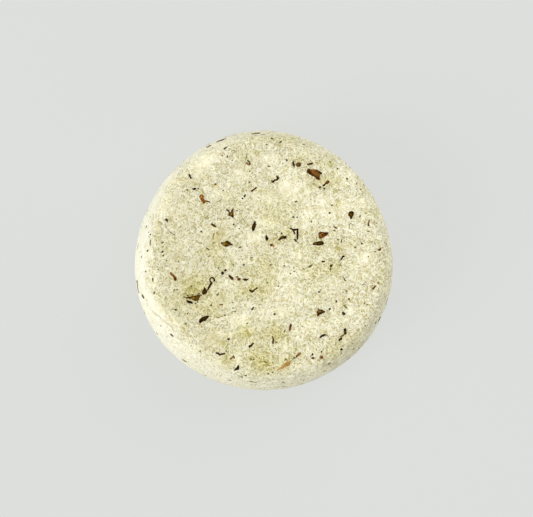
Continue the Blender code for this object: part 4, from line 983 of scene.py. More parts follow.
# Threads: the points they run through
FIBRES = (
    ((-28.8, 11.0), (-28.1, 10.5), (-27.4, 10.0)), ((-23.1, 8.9), (-22.6, 9.35), (-22.1, 9.8)),
    ((-19.2, 9.6), (-18.6, 8.95), (-18.1, 8.3)), ((-25.8, 8.0), (-24.9, 7.5), (-24.0, 6.8)),
    ((-13.0, 15.8), (-12.2, 16.1), (-11.1, 16.9)), ((-5.9, 11.6), (-5.4, 11.1), (-5.0, 10.4)),
    ((-25.2, -13.3), (-24.6, -13.2), (-24.0, -13.3)), ((-12.9, -15.6), (-12.0, -15.4), (-11.0, -15.1)),
    ((23.95, 10.3), (23.5, 9.8), (23.4, 9.1), (23.35, 8.5)), ((-0.9, 34.2), (-0.1, 34.3), (0.6, 34.2)),
    ((7.6, -27.3), (8.0, -26.9), (8.35, -26.6)), ((15.3, -8.4), (15.6, -8.1), (15.9, -7.7)),
    ((14.9, -21.2), (15.3, -21.1), (15.6, -20.9)), ((17.0, -20.4), (17.5, -20.5), (18.0, -20.6)),
    ((25.6, 6.2), (26.2, 6.1), (26.5, 5.4)), ((9.0, 5.3), (9.3, 5.0), (9.6, 4.7)),
    ((-8.8, -14.0), (-7.9, -13.8), (-7.2, -13.9)), ((-4.9, 27.2), (-4.6, 28.2), (-4.7, 29.0)),
    ((-1.6, -12.4), (-1.0, -12.0), (-0.4, -11.9)), ((26.6, -6.8), (27.3, -6.4), (27.9, -6.5)),
    ((21.4, -11.0), (21.8, -10.6), (22.1, -10.2)), ((-16.0, 11.4), (-15.4, 11.8), (-14.9, 12.4)),
)

SOAP = soap_material()
SPECK_DARK = speck_material(
    "speck_dark", (linear(40, 29, 0), linear(62, 49, 8), linear(112, 98, 44), linear(160, 148, 88)), 0.62)
SPECK_OLIVE = speck_material(
    "speck_olive", (linear(82, 72, 20), linear(116, 106, 44), linear(166, 156, 92), linear(202, 192, 134)), 0.72)
SPECK_BROWN = speck_material(
    "speck_brown", (linear(82, 50, 8), linear(114, 76, 20), linear(162, 126, 66), linear(200, 172, 112)), 0.70)

body = soap_body()
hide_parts("soap_body")
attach(body, "root")

SLOTS = {part["node"]: part["material_slot"] for part in frame["record"]["subparts"]}
FINE_POINTS = mesh_co(body.data) / MM
SKIN = BVHTree.FromPolygons(
    [Vector(p) for p in FINE_POINTS], [tuple(f.vertices) for f in body.data.polygons], all_triangles=False)

# The fragments on the layout sheet. Each has a tone (0 dark, 1 light), how far it stands up, its shapes, and
# spots of another tone (x, y, radius, tone). A shape of pairs is an outline; of triples, a strip with its widths.
FLAKES = {
    "bark_chip_large": (0.50, 0.22, (
        ((12.2, 25.05), (13.2, 24.75), (14.3, 24.75), (15.0, 24.5), (15.5, 24.2), (16.0, 23.7), (15.5, 23.4),
         (15.3, 22.9), (15.25, 22.4), (15.7, 21.85), (15.3, 21.9), (14.8, 22.1), (14.2, 22.6), (13.4, 23.0),
         (12.7, 23.4), (12.2, 23.9), (11.8, 24.3)),
    ), (
        (12.0, 24.2, 0.3, 0.0), (12.6, 23.65, 0.3, 0.0), (13.3, 23.2, 0.3, 0.0), (14.0, 22.85, 0.3, 0.0),
        (14.7, 22.35, 0.3, 0.0), (15.4, 22.0, 0.3, 0.0), (14.8, 24.5, 0.3, 0.15), (15.4, 24.2, 0.35, 0.1),
        (15.9, 23.75, 0.3, 0.05), (12.3, 24.9, 0.2, 0.05), (12.7, 24.4, 0.2, 0.05), (13.0, 24.0, 0.2, 0.1),
        (13.4, 24.3, 0.35, 0.72), (14.3, 23.6, 0.4, 0.70),
    )),
    "bark_sliver": (0.35, 0.14, (
        ((16.1, 20.3), (16.5, 20.35), (17.0, 20.8), (17.5, 20.95), (17.95, 21.3), (17.9, 21.75), (17.4, 21.75),
         (17.0, 21.5), (16.8, 21.1), (16.3, 20.7)),
    ), ((17.6, 21.45, 0.4, 0.5), (16.4, 20.5, 0.3, 0.05), (16.9, 20.8, 0.3, 0.1))),
    "seed_shell_cupped": (0.52, 0.16, (
        ((8.2, 26.95, 0.35), (8.12, 26.3, 0.5), (8.4, 25.65, 0.35)),
        ((9.2, 26.7), (9.8, 26.85), (10.25, 26.35), (10.05, 25.7), (9.4, 25.45), (8.95, 25.75), (8.9, 26.3)),
    ), ((8.2, 26.3, 0.6, 0.05), (9.5, 26.25, 0.28, 0.95), (10.1, 26.0, 0.25, 0.25), (9.2, 26.7, 0.2, 0.2))),
    "calyx_teardrop": (0.25, 0.20, (
        ((23.5, 13.4), (24.1, 13.5), (24.5, 13.2), (24.6, 12.7), (24.3, 12.2), (24.1, 11.5), (23.9, 11.2),
         (23.7, 11.5), (23.5, 12.0), (23.1, 12.4), (23.2, 12.9)),
    ), ((24.0, 13.2, 0.35, 0.0), (23.95, 11.4, 0.3, 0.05), (23.9, 12.5, 0.33, 0.7))),
    "bark_chip_speckled": (0.45, 0.16, (
        ((14.95, 7.1), (15.1, 7.7), (15.7, 7.85), (16.4, 7.7), (17.0, 7.6), (17.6, 7.7), (17.65, 7.2), (17.2, 6.9),
         (16.8, 6.6), (16.2, 6.3), (15.7, 6.05), (15.2, 6.1), (15.05, 6.6)),
    ), (
        (15.4, 7.6, 0.28, 0.0), (16.7, 7.4, 0.25, 0.0), (17.2, 7.35, 0.25, 0.05), (15.5, 6.2, 0.3, 0.0),
        (16.1, 6.9, 0.22, 0.05), (15.4, 7.0, 0.3, 0.8), (16.0, 7.5, 0.2, 0.75), (15.7, 6.5, 0.22, 0.8),
        (17.3, 6.75, 0.2, 0.8),
    )),
    "seed_hull_long": (0.25, 0.24, (
        ((13.35, 4.5), (13.9, 4.9), (14.5, 5.1), (15.2, 5.25), (15.9, 5.25), (16.35, 4.95), (16.45, 4.6),
         (16.1, 4.25), (15.4, 4.1), (14.6, 4.15), (14.0, 4.25), (13.5, 4.35)),
    ), (
        (14.3, 4.7, 0.22, 0.7), (15.1, 4.6, 0.2, 0.75), (15.8, 4.9, 0.2, 0.6), (13.5, 4.5, 0.25, 0.0),
        (16.3, 4.6, 0.25, 0.0), (14.9, 5.05, 0.25, 0.0),
    )),
    "husk_flake_01": (0.1, 0.12, (
        ((21.0, 0.1), (21.2, 0.7), (21.4, 1.2), (22.0, 1.4), (22.05, 1.0), (21.7, 0.8), (21.4, 0.4), (21.25, 0.0)),
    ), ((21.35, 0.7, 0.2, 0.35),)),
    "husk_flake_02": (0.25, 0.12, (
        ((4.0, 5.7), (4.4, 6.1), (4.9, 6.5), (5.3, 6.9), (5.6, 6.6), (6.2, 6.7), (6.25, 6.2), (5.9, 5.9), (5.4, 5.95),
         (4.9, 5.8), (4.4, 5.6)),
    ), ((6.0, 6.3, 0.25, 0.0), (4.3, 5.8, 0.2, 0.0), (5.2, 6.4, 0.2, 0.95), (4.9, 6.1, 0.2, 0.5))),
    "husk_flake_03": (0.12, 0.14, (
        ((0.6, 6.8), (0.9, 6.9), (1.1, 6.5), (1.4, 6.1), (1.2, 5.6), (0.9, 5.45), (0.6, 5.7), (0.55, 6.2)),
    ), ((0.9, 6.4, 0.2, 0.4),)),
    "petal_crumb_amber": (0.82, 0.08, (
        ((1.75, 4.3), (2.0, 4.55), (2.4, 4.45), (2.8, 4.3), (3.1, 4.0), (2.9, 3.75), (2.4, 3.8), (1.95, 3.95)),
    ), ((2.1, 4.25, 0.28, 0.05),)),
    "husk_flake_04": (0.15, 0.12, (
        ((21.35, -14.2), (21.7, -13.95), (22.15, -14.2), (22.3, -14.6), (22.0, -14.85), (21.6, -14.75)),
    ), ((21.8, -14.3, 0.2, 0.5),)),
    "husk_flake_05": (0.12, 0.14, (
        ((21.9, -18.7), (22.15, -18.5), (22.45, -18.65), (22.55, -19.0), (22.45, -19.4), (22.7, -19.7), (22.6, -20.0),
         (22.2, -20.1), (22.0, -19.8), (22.1, -19.4), (21.9, -19.1)),
    ), ((22.2, -18.85, 0.3, 0.0), (22.35, -19.8, 0.3, 0.35))),
    "husk_flake_06": (0.05, 0.12, (((20.6, -21.75, 0.3), (21.0, -21.4, 0.55), (21.3, -21.1, 0.4)),), ()),
    "leaf_crumb_01": (0.2, 0.10, (
        ((13.1, -25.6), (13.3, -25.25), (13.65, -25.3), (13.75, -25.7), (13.5, -25.95), (13.2, -25.9)),
        ((13.05, -26.5), (13.4, -26.25), (13.8, -26.4), (13.75, -26.75), (13.3, -26.8)),
        ((12.75, -26.0), (12.9, -25.85), (13.05, -26.0), (12.9, -26.2)),
    ), ((13.4, -26.5, 0.35, 0.4),)),
    "bark_crumb_01": (0.50, 0.10, (
        ((15.35, -26.2), (15.7, -25.95), (16.1, -26.05), (16.35, -26.35), (16.1, -26.65), (15.7, -26.75),
         (15.4, -26.5)),
    ), ((16.1, -26.3, 0.25, 0.15), (15.6, -26.35, 0.25, 0.85))),
    "husk_flake_07": (0.3, 0.10, (
        ((20.95, -24.3), (21.1, -24.0), (21.5, -23.9), (21.75, -24.05), (21.5, -24.3), (21.2, -24.5)),
    ), ((21.15, -24.2, 0.2, 0.0),)),
    "calyx_trefoil": (0.22, 0.14, (
        ((-27.0, 11.05), (-26.6, 11.25), (-26.35, 11.6), (-26.05, 11.2), (-25.95, 10.8), (-26.1, 10.4),
         (-26.35, 10.75), (-26.7, 10.95)),
    ), ((-26.3, 11.2, 0.2, 0.45),)),
    "husk_flake_08": (0.0, 0.14, (
        ((-19.35, 19.5), (-19.1, 19.75), (-18.8, 19.85), (-18.4, 19.7), (-18.3, 19.45), (-18.6, 19.3), (-19.0, 19.3)),
    ), ()),
    "petal_strip_red": (0.45, 0.10, (
        ((-25.5, -3.3), (-25.1, -3.2), (-24.8, -3.6), (-24.2, -4.1), (-23.8, -4.6), (-23.6, -5.0), (-23.8, -5.4),
         (-24.1, -5.5), (-24.4, -5.0), (-24.6, -4.4), (-25.0, -4.0), (-25.4, -3.7)),
    ), ((-24.1, -4.95, 0.3, 0.05), (-25.0, -3.6, 0.3, 0.65))),
    "husk_flake_09": (0.35, 0.14, (
        ((-33.15, -9.2), (-32.8, -9.35), (-32.5, -9.7), (-32.25, -10.1), (-32.25, -10.4), (-32.6, -10.35),
         (-32.85, -9.95), (-33.1, -9.6)),
    ), ((-32.55, -10.05, 0.25, 0.1),)),
    "leaf_curl_large": (0.52, 0.20, (
        ((-21.7, -9.9), (-20.5, -10.0), (-19.5, -9.7), (-18.6, -9.6), (-17.8, -9.3), (-16.9, -9.1), (-17.3, -9.8),
         (-17.6, -10.3), (-17.7, -10.9), (-18.3, -11.0), (-19.0, -10.8), (-19.7, -10.5), (-20.6, -10.3),
         (-21.4, -10.1)),
    ), (
        (-20.5, -9.95, 0.28, 0.05), (-19.5, -9.7, 0.25, 0.1), (-18.6, -9.6, 0.25, 0.12), (-17.8, -9.35, 0.2, 0.1),
        (-17.1, -9.2, 0.25, 0.0), (-21.4, -10.0, 0.3, 0.0), (-17.8, -10.9, 0.25, 0.1), (-18.6, -10.95, 0.2, 0.2),
        (-19.2, -10.3, 0.35, 0.72), (-18.2, -10.2, 0.3, 0.68),
    )),
    "husk_flake_10": (0.0, 0.12, (
        ((-21.0, -10.8), (-20.4, -10.9), (-19.7, -11.1), (-19.2, -11.5), (-19.2, -11.8), (-19.8, -11.7),
         (-20.4, -11.5), (-20.9, -11.1)),
    ), ()),
    "leaf_curl_base": (0.08, 0.18, (
        ((-16.7, -8.4), (-16.3, -7.8), (-16.0, -7.2), (-15.7, -7.8), (-15.3, -8.2), (-15.4, -8.8), (-15.9, -9.1),
         (-16.5, -9.3), (-16.6, -8.9)),
    ), ((-15.95, -8.4, 0.25, 0.55),)),
    "tendril_curl": (0.22, 0.12, (
        ((-15.2, -7.95, 0.3), (-14.7, -7.1, 0.45), (-14.4, -6.5, 0.45), (-14.1, -6.05, 0.4)),
        ((-14.25, -5.9, 0.3), (-14.5, -5.6, 0.3), (-14.6, -5.2, 0.3), (-14.35, -4.75, 0.3), (-13.9, -4.6, 0.3),
         (-13.5, -4.8, 0.3), (-13.3, -5.2, 0.3), (-13.45, -5.6, 0.25)),
    ), ()),
    "husk_chip_black": (0.03, 0.18, (
        ((-17.5, -16.9), (-17.5, -16.2), (-17.0, -15.7), (-16.3, -15.3), (-15.6, -15.05), (-15.0, -15.0),
         (-14.75, -15.15), (-15.1, -15.6), (-15.6, -16.1), (-16.3, -16.4), (-16.8, -16.7), (-17.2, -17.1)),
    ), ((-16.2, -15.9, 0.3, 0.3),)),
    "husk_flake_11": (0.3, 0.12, (((-25.25, -20.05, 0.35), (-24.95, -20.3, 0.5), (-24.6, -20.65, 0.35)),), ()),
    "husk_flake_12": (0.15, 0.12, (
        ((-21.95, -26.9, 0.35), (-21.6, -27.15, 0.55), (-21.1, -27.4, 0.45)),
    ), ((-21.2, -27.35, 0.2, 0.0),)),
    "husk_flake_13": (0.12, 0.12, (
        ((-12.55, 32.3, 0.35), (-12.1, 32.6, 0.4), (-11.6, 32.65, 0.35), (-11.2, 32.7, 0.4), (-10.75, 33.0, 0.3)),
    ), ()),
    "leaf_crumb_02": (0.35, 0.10, (((-15.4, 30.7, 0.35), (-14.9, 30.95, 0.45), (-14.3, 31.35, 0.3)),), ()),
    "husk_crescent": (0.28, 0.12, (
        ((-4.35, 27.35, 0.2), (-3.95, 26.95, 0.35), (-3.75, 26.5, 0.5), (-3.85, 26.0, 0.4)),
        ((-4.5, 26.6, 0.25), (-4.2, 26.3, 0.3)),
    ), ((-4.3, 26.5, 0.3, 0.6),)),
    "husk_flake_14": (0.08, 0.12, (
        ((-3.15, 18.85, 0.35), (-2.95, 19.1, 0.5), (-2.65, 19.35, 0.35), (-2.3, 19.6, 0.2), (-2.0, 19.8, 0.25)),
    ), ()),
    "petal_orange": (0.6, 0.10, (
        ((-17.5, 17.5), (-17.1, 18.0), (-16.6, 18.0), (-16.2, 17.5), (-16.4, 17.0), (-16.2, 16.5), (-15.6, 16.35),
         (-15.0, 16.2), (-15.05, 15.95), (-15.6, 16.0), (-15.9, 15.7), (-16.4, 15.6), (-16.8, 16.1), (-17.1, 16.6),
         (-17.3, 17.1)),
    ), (
        (-17.3, 17.6, 0.22, 0.2), (-16.3, 17.7, 0.2, 0.2), (-16.9, 16.4, 0.2, 0.2), (-15.3, 16.1, 0.25, 0.05),
        (-16.2, 15.8, 0.2, 0.25), (-16.8, 17.3, 0.3, 0.9),
    )),
    "leaf_cluster": (0.42, 0.14, (
        ((-10.0, 13.9, 0.3), (-9.4, 13.4, 0.3)),
        ((-9.5, 12.6), (-9.3, 13.3), (-9.0, 13.1), (-8.7, 13.6), (-8.4, 14.1), (-8.2, 13.4), (-8.2, 12.6),
         (-8.1, 11.7), (-8.5, 11.8), (-9.0, 12.1), (-9.5, 12.2)),
    ), (
        (-8.4, 12.0, 0.3, 0.0), (-9.4, 12.7, 0.22, 0.05), (-8.5, 13.9, 0.2, 0.1), (-8.85, 12.7, 0.3, 0.8),
        (-9.7, 13.65, 0.4, 0.15),
    )),
    "petal_pale": (0.72, 0.06, (
        ((-13.6, 7.3), (-13.2, 7.75), (-12.5, 7.8), (-11.9, 7.4), (-11.6, 6.8), (-11.6, 6.0), (-12.0, 5.4),
         (-12.7, 5.15), (-13.3, 5.3), (-13.75, 5.9), (-13.8, 6.6)),
    ), (
        (-13.6, 7.3, 0.2, 0.1), (-13.65, 6.9, 0.18, 0.05), (-13.8, 6.4, 0.18, 0.1), (-13.8, 5.9, 0.18, 0.15),
        (-12.7, 7.5, 0.2, 0.15), (-12.3, 7.0, 0.18, 0.2), (-13.6, 5.2, 0.2, 0.15), (-11.9, 5.7, 0.4, 0.55),
    )),
    "seed_spindle": (0.04, 0.22, (
        ((-3.05, 8.1), (-3.1, 8.8), (-3.0, 9.5), (-2.7, 10.3), (-2.45, 10.7), (-2.2, 10.7), (-2.05, 10.0), (-2.1, 9.3),
         (-2.3, 8.7), (-2.6, 8.2), (-2.8, 7.95)),
    ), ((-2.55, 9.4, 0.25, 0.55),)),
    "leaf_lens": (0.48, 0.14, (
        ((-11.7, 4.8), (-11.0, 4.95), (-10.4, 5.0), (-10.0, 5.4), (-9.5, 5.2), (-9.0, 5.0), (-8.8, 4.6), (-8.3, 4.3),
         (-8.5, 4.1), (-9.2, 4.2), (-9.8, 3.75), (-10.4, 3.8), (-10.9, 4.1), (-11.3, 4.5)),
    ), (
        (-10.8, 4.5, 0.45, 0.82), (-9.6, 5.0, 0.35, 0.05), (-10.1, 5.2, 0.25, 0.1), (-9.0, 4.55, 0.22, 0.6),
        (-8.5, 4.25, 0.25, 0.0), (-11.6, 4.8, 0.2, 0.15), (-10.0, 3.9, 0.25, 0.15),
    )),
    "husk_flake_15": (0.04, 0.12, (
        ((-11.4, -3.6), (-11.35, -3.1), (-11.1, -2.9), (-10.8, -3.1), (-10.8, -3.6), (-11.0, -3.9), (-11.3, -3.85)),
        ((-10.7, -2.8), (-10.4, -2.4), (-10.1, -2.5), (-10.2, -2.9), (-10.5, -3.0)),
    ), ()),
    "leaf_crumb_03": (0.15, 0.12, (
        ((-7.15, -5.1), (-6.95, -4.75), (-6.5, -4.7), (-6.25, -5.0), (-6.35, -5.4), (-6.8, -5.5)),
        ((-5.4, -5.15, 0.3), (-4.9, -5.25, 0.6), (-4.45, -5.2, 0.4), (-4.0, -4.9, 0.2)),
    ), ((-6.7, -5.0, 0.2, 0.5),)),
    "leaf_wedge_01": (0.66, 0.08, (
        ((-9.05, -26.8), (-8.7, -26.3), (-8.35, -26.05), (-8.1, -25.75), (-7.95, -26.1), (-7.75, -26.75),
         (-8.2, -26.45), (-8.6, -26.6), (-8.85, -27.0)),
    ), ((-8.1, -25.9, 0.2, 0.3), (-8.9, -26.7, 0.22, 0.25))),
    "husk_wedge_dark": (0.08, 0.14, (
        ((-8.05, -29.95), (-7.7, -29.5), (-7.25, -29.2), (-7.05, -28.75), (-6.8, -28.5), (-6.6, -28.8), (-6.6, -29.3),
         (-6.75, -29.75), (-7.2, -29.8), (-7.6, -29.95)),
    ), ((-7.1, -29.4, 0.2, 0.35),)),
    "petal_frame_dark": (0.10, 0.14, (
        ((14.6, -13.8), (15.0, -13.4), (15.6, -13.3), (16.2, -13.5), (16.7, -13.75), (16.95, -14.0), (16.4, -14.2),
         (15.9, -14.45), (15.3, -14.75), (14.8, -15.3), (14.6, -15.0), (14.8, -14.5), (14.6, -14.2)),
    ), ((15.1, -13.95, 0.25, 0.95), (15.6, -13.9, 0.25, 1.0), (16.15, -13.95, 0.2, 0.9))),
    "petal_stem_amber": (0.55, 0.10, (
        ((3.4, -30.1), (4.0, -29.5), (4.8, -29.0), (5.6, -28.6), (5.9, -28.0), (6.4, -27.6), (7.0, -27.3),
         (7.4, -27.6), (7.1, -28.3), (6.4, -28.8), (5.6, -29.2), (4.8, -29.5), (4.0, -29.8)),
    ), ((4.6, -29.3, 0.5, 0.75), (6.2, -28.2, 0.4, 0.35), (7.1, -27.7, 0.3, 0.6))),
    "stem_bit_01": (0.45, 0.10, (((12.0, 26.25, 0.35), (12.5, 26.3, 0.45), (13.0, 26.4, 0.5), (13.35, 26.5, 0.35)),), ()),
    "stem_bit_02": (0.1, 0.12, (
        ((2.25, 21.8, 0.3), (2.45, 21.4, 0.45), (2.85, 21.65, 0.4), (3.2, 21.95, 0.45), (3.7, 22.05, 0.4),
         (4.05, 22.4, 0.4), (4.25, 22.6, 0.3)),
        ((3.6, 23.0, 0.25), (3.9, 22.5, 0.25)),
    ), ((4.1, 22.5, 0.3, 0.35),)),
    "stem_bit_03": (0.55, 0.10, (
        ((28.45, 9.4), (28.6, 9.25), (28.8, 9.4), (28.85, 9.9), (28.8, 10.4), (29.0, 10.9), (28.85, 11.15),
         (28.65, 10.8), (28.5, 10.2), (28.35, 9.8)),
    ), ((28.8, 10.9, 0.3, 0.0), (28.6, 9.45, 0.25, 0.0), (28.6, 10.0, 0.2, 0.9))),
    "stem_elbow": (0.08, 0.14, (
        ((7.3, 8.75, 0.3), (8.2, 8.35, 0.45), (9.2, 8.45, 0.4)),
        ((9.35, 8.55, 0.4), (9.3, 7.2, 0.5), (9.25, 5.9, 0.35)),
        ((8.2, 8.15, 0.4), (8.5, 7.4, 0.4)),
        ((8.5, 5.85, 0.3), (8.9, 5.3, 0.4)),
    ), ((9.3, 7.0, 0.3, 0.3),)),
    "stem_bit_04": (0.05, 0.12, (
        ((15.45, -20.95, 0.3), (15.75, -20.6, 0.5), (16.2, -20.4, 0.5), (16.85, -20.25, 0.35)),
    ), ()),
    "stem_bit_05": (0.35, 0.12, (((7.5, -17.4, 0.4), (7.25, -18.1, 0.5), (7.2, -19.0, 0.4)),), ()),
    "leaf_vein_01": (0.35, 0.10, (
        ((2.45, -20.6, 0.25), (2.7, -21.3, 0.35), (2.65, -22.0, 0.4), (2.6, -22.6, 0.3)),
    ), ()),
    "stem_bit_06": (0.78, 0.12, (
        ((8.9, -26.25, 0.3), (9.3, -25.9, 0.5), (9.7, -25.5, 0.5), (10.15, -25.15, 0.3)),
    ), ((8.9, -26.2, 0.25, 0.2),)),
    "stem_bit_07": (0.2, 0.12, (((31.3, -16.65, 0.3), (31.5, -16.1, 0.4), (31.85, -15.4, 0.35)),), ()),
    "stem_bit_08": (0.5, 0.10, (((29.85, -7.8, 0.35), (30.2, -7.35, 0.45), (30.65, -6.9, 0.3)),), ()),
    "husk_rim_strip": (0.3, 0.14, (
        ((-34.35, -5.3, 0.3), (-34.35, -6.4, 0.4), (-34.15, -7.6, 0.35), (-33.8, -8.7, 0.3)),
    ), ()),
    "stem_bit_09": (0.3, 0.12, (((-3.1, 34.4, 0.4), (-2.4, 34.6, 0.35), (-1.7, 34.7, 0.3), (-1.0, 34.65, 0.25)),), ()),
    "stem_bit_10": (0.12, 0.12, (((-20.2, 23.55, 0.35), (-20.05, 23.0, 0.4), (-19.7, 22.5, 0.3)),), ()),
}
# Further flecks of the same plants, too thin to be parts of their own
FLECKS = {
    "flecks_brown": ("bark_brown", 0.12, 0.10, (
        ((-12.9, -25.15, 0.35), (-12.2, -25.3, 0.45), (-11.95, -25.7, 0.45), (-11.3, -25.5, 0.45), (-10.6, -25.3, 0.35)),
        ((-3.8, -23.5, 0.6), (-3.3, -23.1, 0.45), (-2.65, -22.5, 0.25)),
        ((-14.1, 9.95, 0.35), (-13.6, 9.6, 0.5), (-13.0, 9.25, 0.4)),
    ), ()),
    "flecks_olive": ("leaf_olive", 0.18, 0.10, (
        ((-3.75, -8.0, 0.3), (-3.15, -8.55, 0.5), (-2.45, -8.0, 0.4), (-1.9, -7.55, 0.35), (-1.65, -7.4, 0.2)),
        ((-9.3, -4.1, 0.5), (-8.85, -4.6, 0.75), (-8.35, -5.1, 0.5)),
        ((20.9, -20.8, 0.25), (21.4, -20.5, 0.3), (22.0, -20.2, 0.25)),
    ), ((-8.9, -4.5, 0.3, 0.5), (21.4, -20.5, 0.9, 0.75))),
}


def strip_outline(rows):
    """The outline of a strip with a round tip at each end."""
    p = np.array(rows, float)
    left, right = [], []
    for i in range(len(p)):
        run = p[min(len(p) - 1, i + 1), :2] - p[max(0, i - 1), :2]
        run /= np.linalg.norm(run)
        side = np.array([-run[1], run[0]]) * p[i, 2] / 2
        if i == 0:
            left.append(p[i, :2] - run * p[i, 2] * 0.45)
        left.append(p[i, :2] + side)
        right.append(p[i, :2] - side)
        if i == len(p) - 1:
            left.append(p[i, :2] + run * p[i, 2] * 0.45)
    return np.array(left + right[::-1])


def broken_outline(corners, index):
    """The same outline with its corners eased and its edges broken, points about 0.1 mm apart."""
    p = np.array(corners, float)
    after = np.roll(p, -1, axis=0)
    if (p[:, 0] * after[:, 1] - p[:, 1] * after[:, 0]).sum() < 0:
        p = p[::-1]
        after = np.roll(p, -1, axis=0)
    p = np.stack([p * 0.8 + after * 0.2, p * 0.2 + after * 0.8], 1).reshape(-1, 2)
    after = np.roll(p, -1, axis=0)
    points = []
    for a, b in zip(p, after):
        count = max(1, int(round(np.linalg.norm(b - a) / 0.1)))
        points += [a + (b - a) * k / count for k in range(count)]
    points = np.array(points)
    run = np.roll(points, -1, axis=0) - np.roll(points, 1, axis=0)
    out = np.stack([run[:, 1], -run[:, 0]], 1) / np.maximum(np.linalg.norm(run, axis=1), 1e-6)[:, None]
    sample = np.column_stack([points, np.full(len(points), index * 3.7)])
    return points + out * (0.05 + 0.08 * noise(sample, 0.38, 71) + 0.04 * noise(sample, 0.17, 72))[:, None]


def sheet_of(outline):
    """Points and triangles that fill an outline."""
    low, high = outline.min(0), outline.max(0)
    after = np.roll(outline, -1, axis=0)
    inside = []
    for row, y in enumerate(np.arange(low[1], high[1], 0.13)):
        for x in np.arange(low[0] + 0.075 * (row % 2), high[0], 0.15):
            crossings = ((outline[:, 1] > y) != (after[:, 1] > y)) & (
                x < (after[:, 0] - outline[:, 0]) * (y - outline[:, 1]) / (after[:, 1] - outline[:, 1] + 1e-12) + outline[:, 0])
            if crossings.sum() % 2 and edge_distance(np.array([[x, y]]), outline)[0] > 0.06:
                inside.append((x, y))
    everything = [Vector(p) for p in outline] + [Vector(p) for p in inside]
    n = len(outline)
    points, _, faces, origins, _, _ = delaunay_2d_cdt(everything, [(i, (i + 1) % n) for i in range(n)], [], 1, 1e-5)
    return np.array([tuple(p) for p in points]), [tuple(f) for f in faces]


def edge_distance(points, outline):
    best = np.full(len(points), 9.0)
    for a, b in zip(outline, np.roll(outline, -1, axis=0)):
        run = b - a
        t = np.clip(((points - a) @ run) / max(run.dot(run), 1e-12), 0.0, 1.0)
        best = np.minimum(best, np.linalg.norm(points - a - t[:, None] * run, axis=1))
    return best


class Lie:
    """Where the points of one shape come to lie: straight under the layout sheet on the top, and turned into
    the plane of the skin on the steep side, where they would otherwise be drawn out."""

    def __init__(self, centre):
        self.centre = centre
        self.anchor, _ = lay_point(*centre)
        _, self.slope = lay_point(centre[0] * 0.998, centre[1] * 0.998)
        facing = self.slope.dot(LAY_AWAY)
        self.steep = facing < 0.75
        self.up_slope = (LAY_AWAY - self.slope * facing).normalized()
        self.level = self.slope.cross(self.up_slope)
        self.seen = (self.up_slope - LAY_AWAY * self.up_slope.dot(LAY_AWAY)).normalized()
        self.stretch = min(1.0 / max(facing, 0.2), 1.6)

    def __call__(self, x, y):
        if not self.steep:
            return lay_point(x, y, SKIN)[0], lay_point(x * 0.998, y * 0.998)[1]
        move = LAY_ACROSS * (x - self.centre[0]) + LAY_UP * (y - self.centre[1])
        guess = self.anchor + self.up_slope * (move.dot(self.seen) * self.stretch) + self.level * move.dot(self.level)
        at = SKIN.find_nearest(guess)[0]
        return at, PLAIN.find_nearest(at)[1]


def flake(name, row, material, index):
    """A fragment drawn on the layout sheet, as a thin closed piece lying in the skin."""
    base, lift, shapes, spots = row
    points, faces, sheet = [], [], []
    for shape in shapes:
        outline = broken_outline(strip_outline(shape) if len(shape[0]) == 3 else shape, index)
        flat, triangles = sheet_of(outline)
        depth = edge_distance(flat, outline)
        sample = np.column_stack([flat, np.full(len(flat), index * 5.1)])
        stand = 0.03 + lift * smooth(depth / 0.26) * (0.85 + 0.5 * noise(sample, 0.7, 81)) + 0.02 * noise(sample, 0.25, 82)
        start, count = len(points), len(flat)
        below = []
        lie = Lie(outline.mean(0))
        for (x, y), h in zip(flat, stand):
            at, normal = lie(x, y)
            points.append(at + normal * float(h))
            below.append(at - normal * 0.22)
        points += below
        sheet += [tuple(p) for p in flat] * 2
        used = {}
        for a, b, c in triangles:
            faces.append((start + a, start + b, start + c))
            faces.append((start + count + c, start + count + b, start + count + a))
            for e in ((a, b), (b, c), (c, a)):
                if (e[1], e[0]) in used:
                    used.pop((e[1], e[0]))
                else:
                    used[e] = True
        for a, b in used:
            faces.append((start + b, start + a, start + count + a, start + count + b))
    mesh = bpy.data.meshes.new(name + "_fine")
    mesh.from_pydata([(p.x * MM, p.y * MM, p.z * MM) for p in points], [], faces)
    mesh.validate()
    bm = bmesh.new()
    bm.from_mesh(mesh)
    bmesh.ops.recalc_face_normals(bm, faces=bm.faces)
    bm.to_mesh(mesh)
    bm.free()
    mesh.update()
    mesh.shade_smooth()
    sheet = np.array(sheet)
    tone = np.full(len(sheet), float(base))
    for x, y, radius, spot in spots:
        near = np.exp(-((np.hypot(sheet[:, 0] - x, sheet[:, 1] - y) / (radius * 1.25)) ** 2))
        tone += (spot - 0.12 - tone) * np.minimum(1.0, near * 1.2)
    middle = sheet.mean(0)
    _, _, axes = np.linalg.svd(sheet - middle, full_matrices=False)
    grain = (sheet - middle) @ axes.T
    store(mesh, "grain", np.column_stack([grain, np.zeros(len(grain))]), "FLOAT_VECTOR")
    store(mesh, "seed", np.full(len(sheet), index * 0.37 % 5.0 + 0.1))
    store(mesh, "tone", tone)
    thing = link(bpy.data.objects.new(name + "_fine", mesh))
    thing.data.materials.append(material)
    return thing


for index, name in enumerate(CHIP_NAMES):
    if name in FLAKES:
        material = PALE_PETAL if name == "petal_pale" else MATERIALS[SLOTS[name]]
        piece = flake(name, FLAKES[name], material, index)
    else:
        piece = fine_chip(name, SLOTS[name], index)
    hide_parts(name)
    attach(piece, "root")
for index, (name, (slot, *row)) in enumerate(FLECKS.items()):
    piece = flake(name, row, MATERIALS[slot], 70 + index)
    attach(piece, "root")

rng = np.random.default_rng(41)


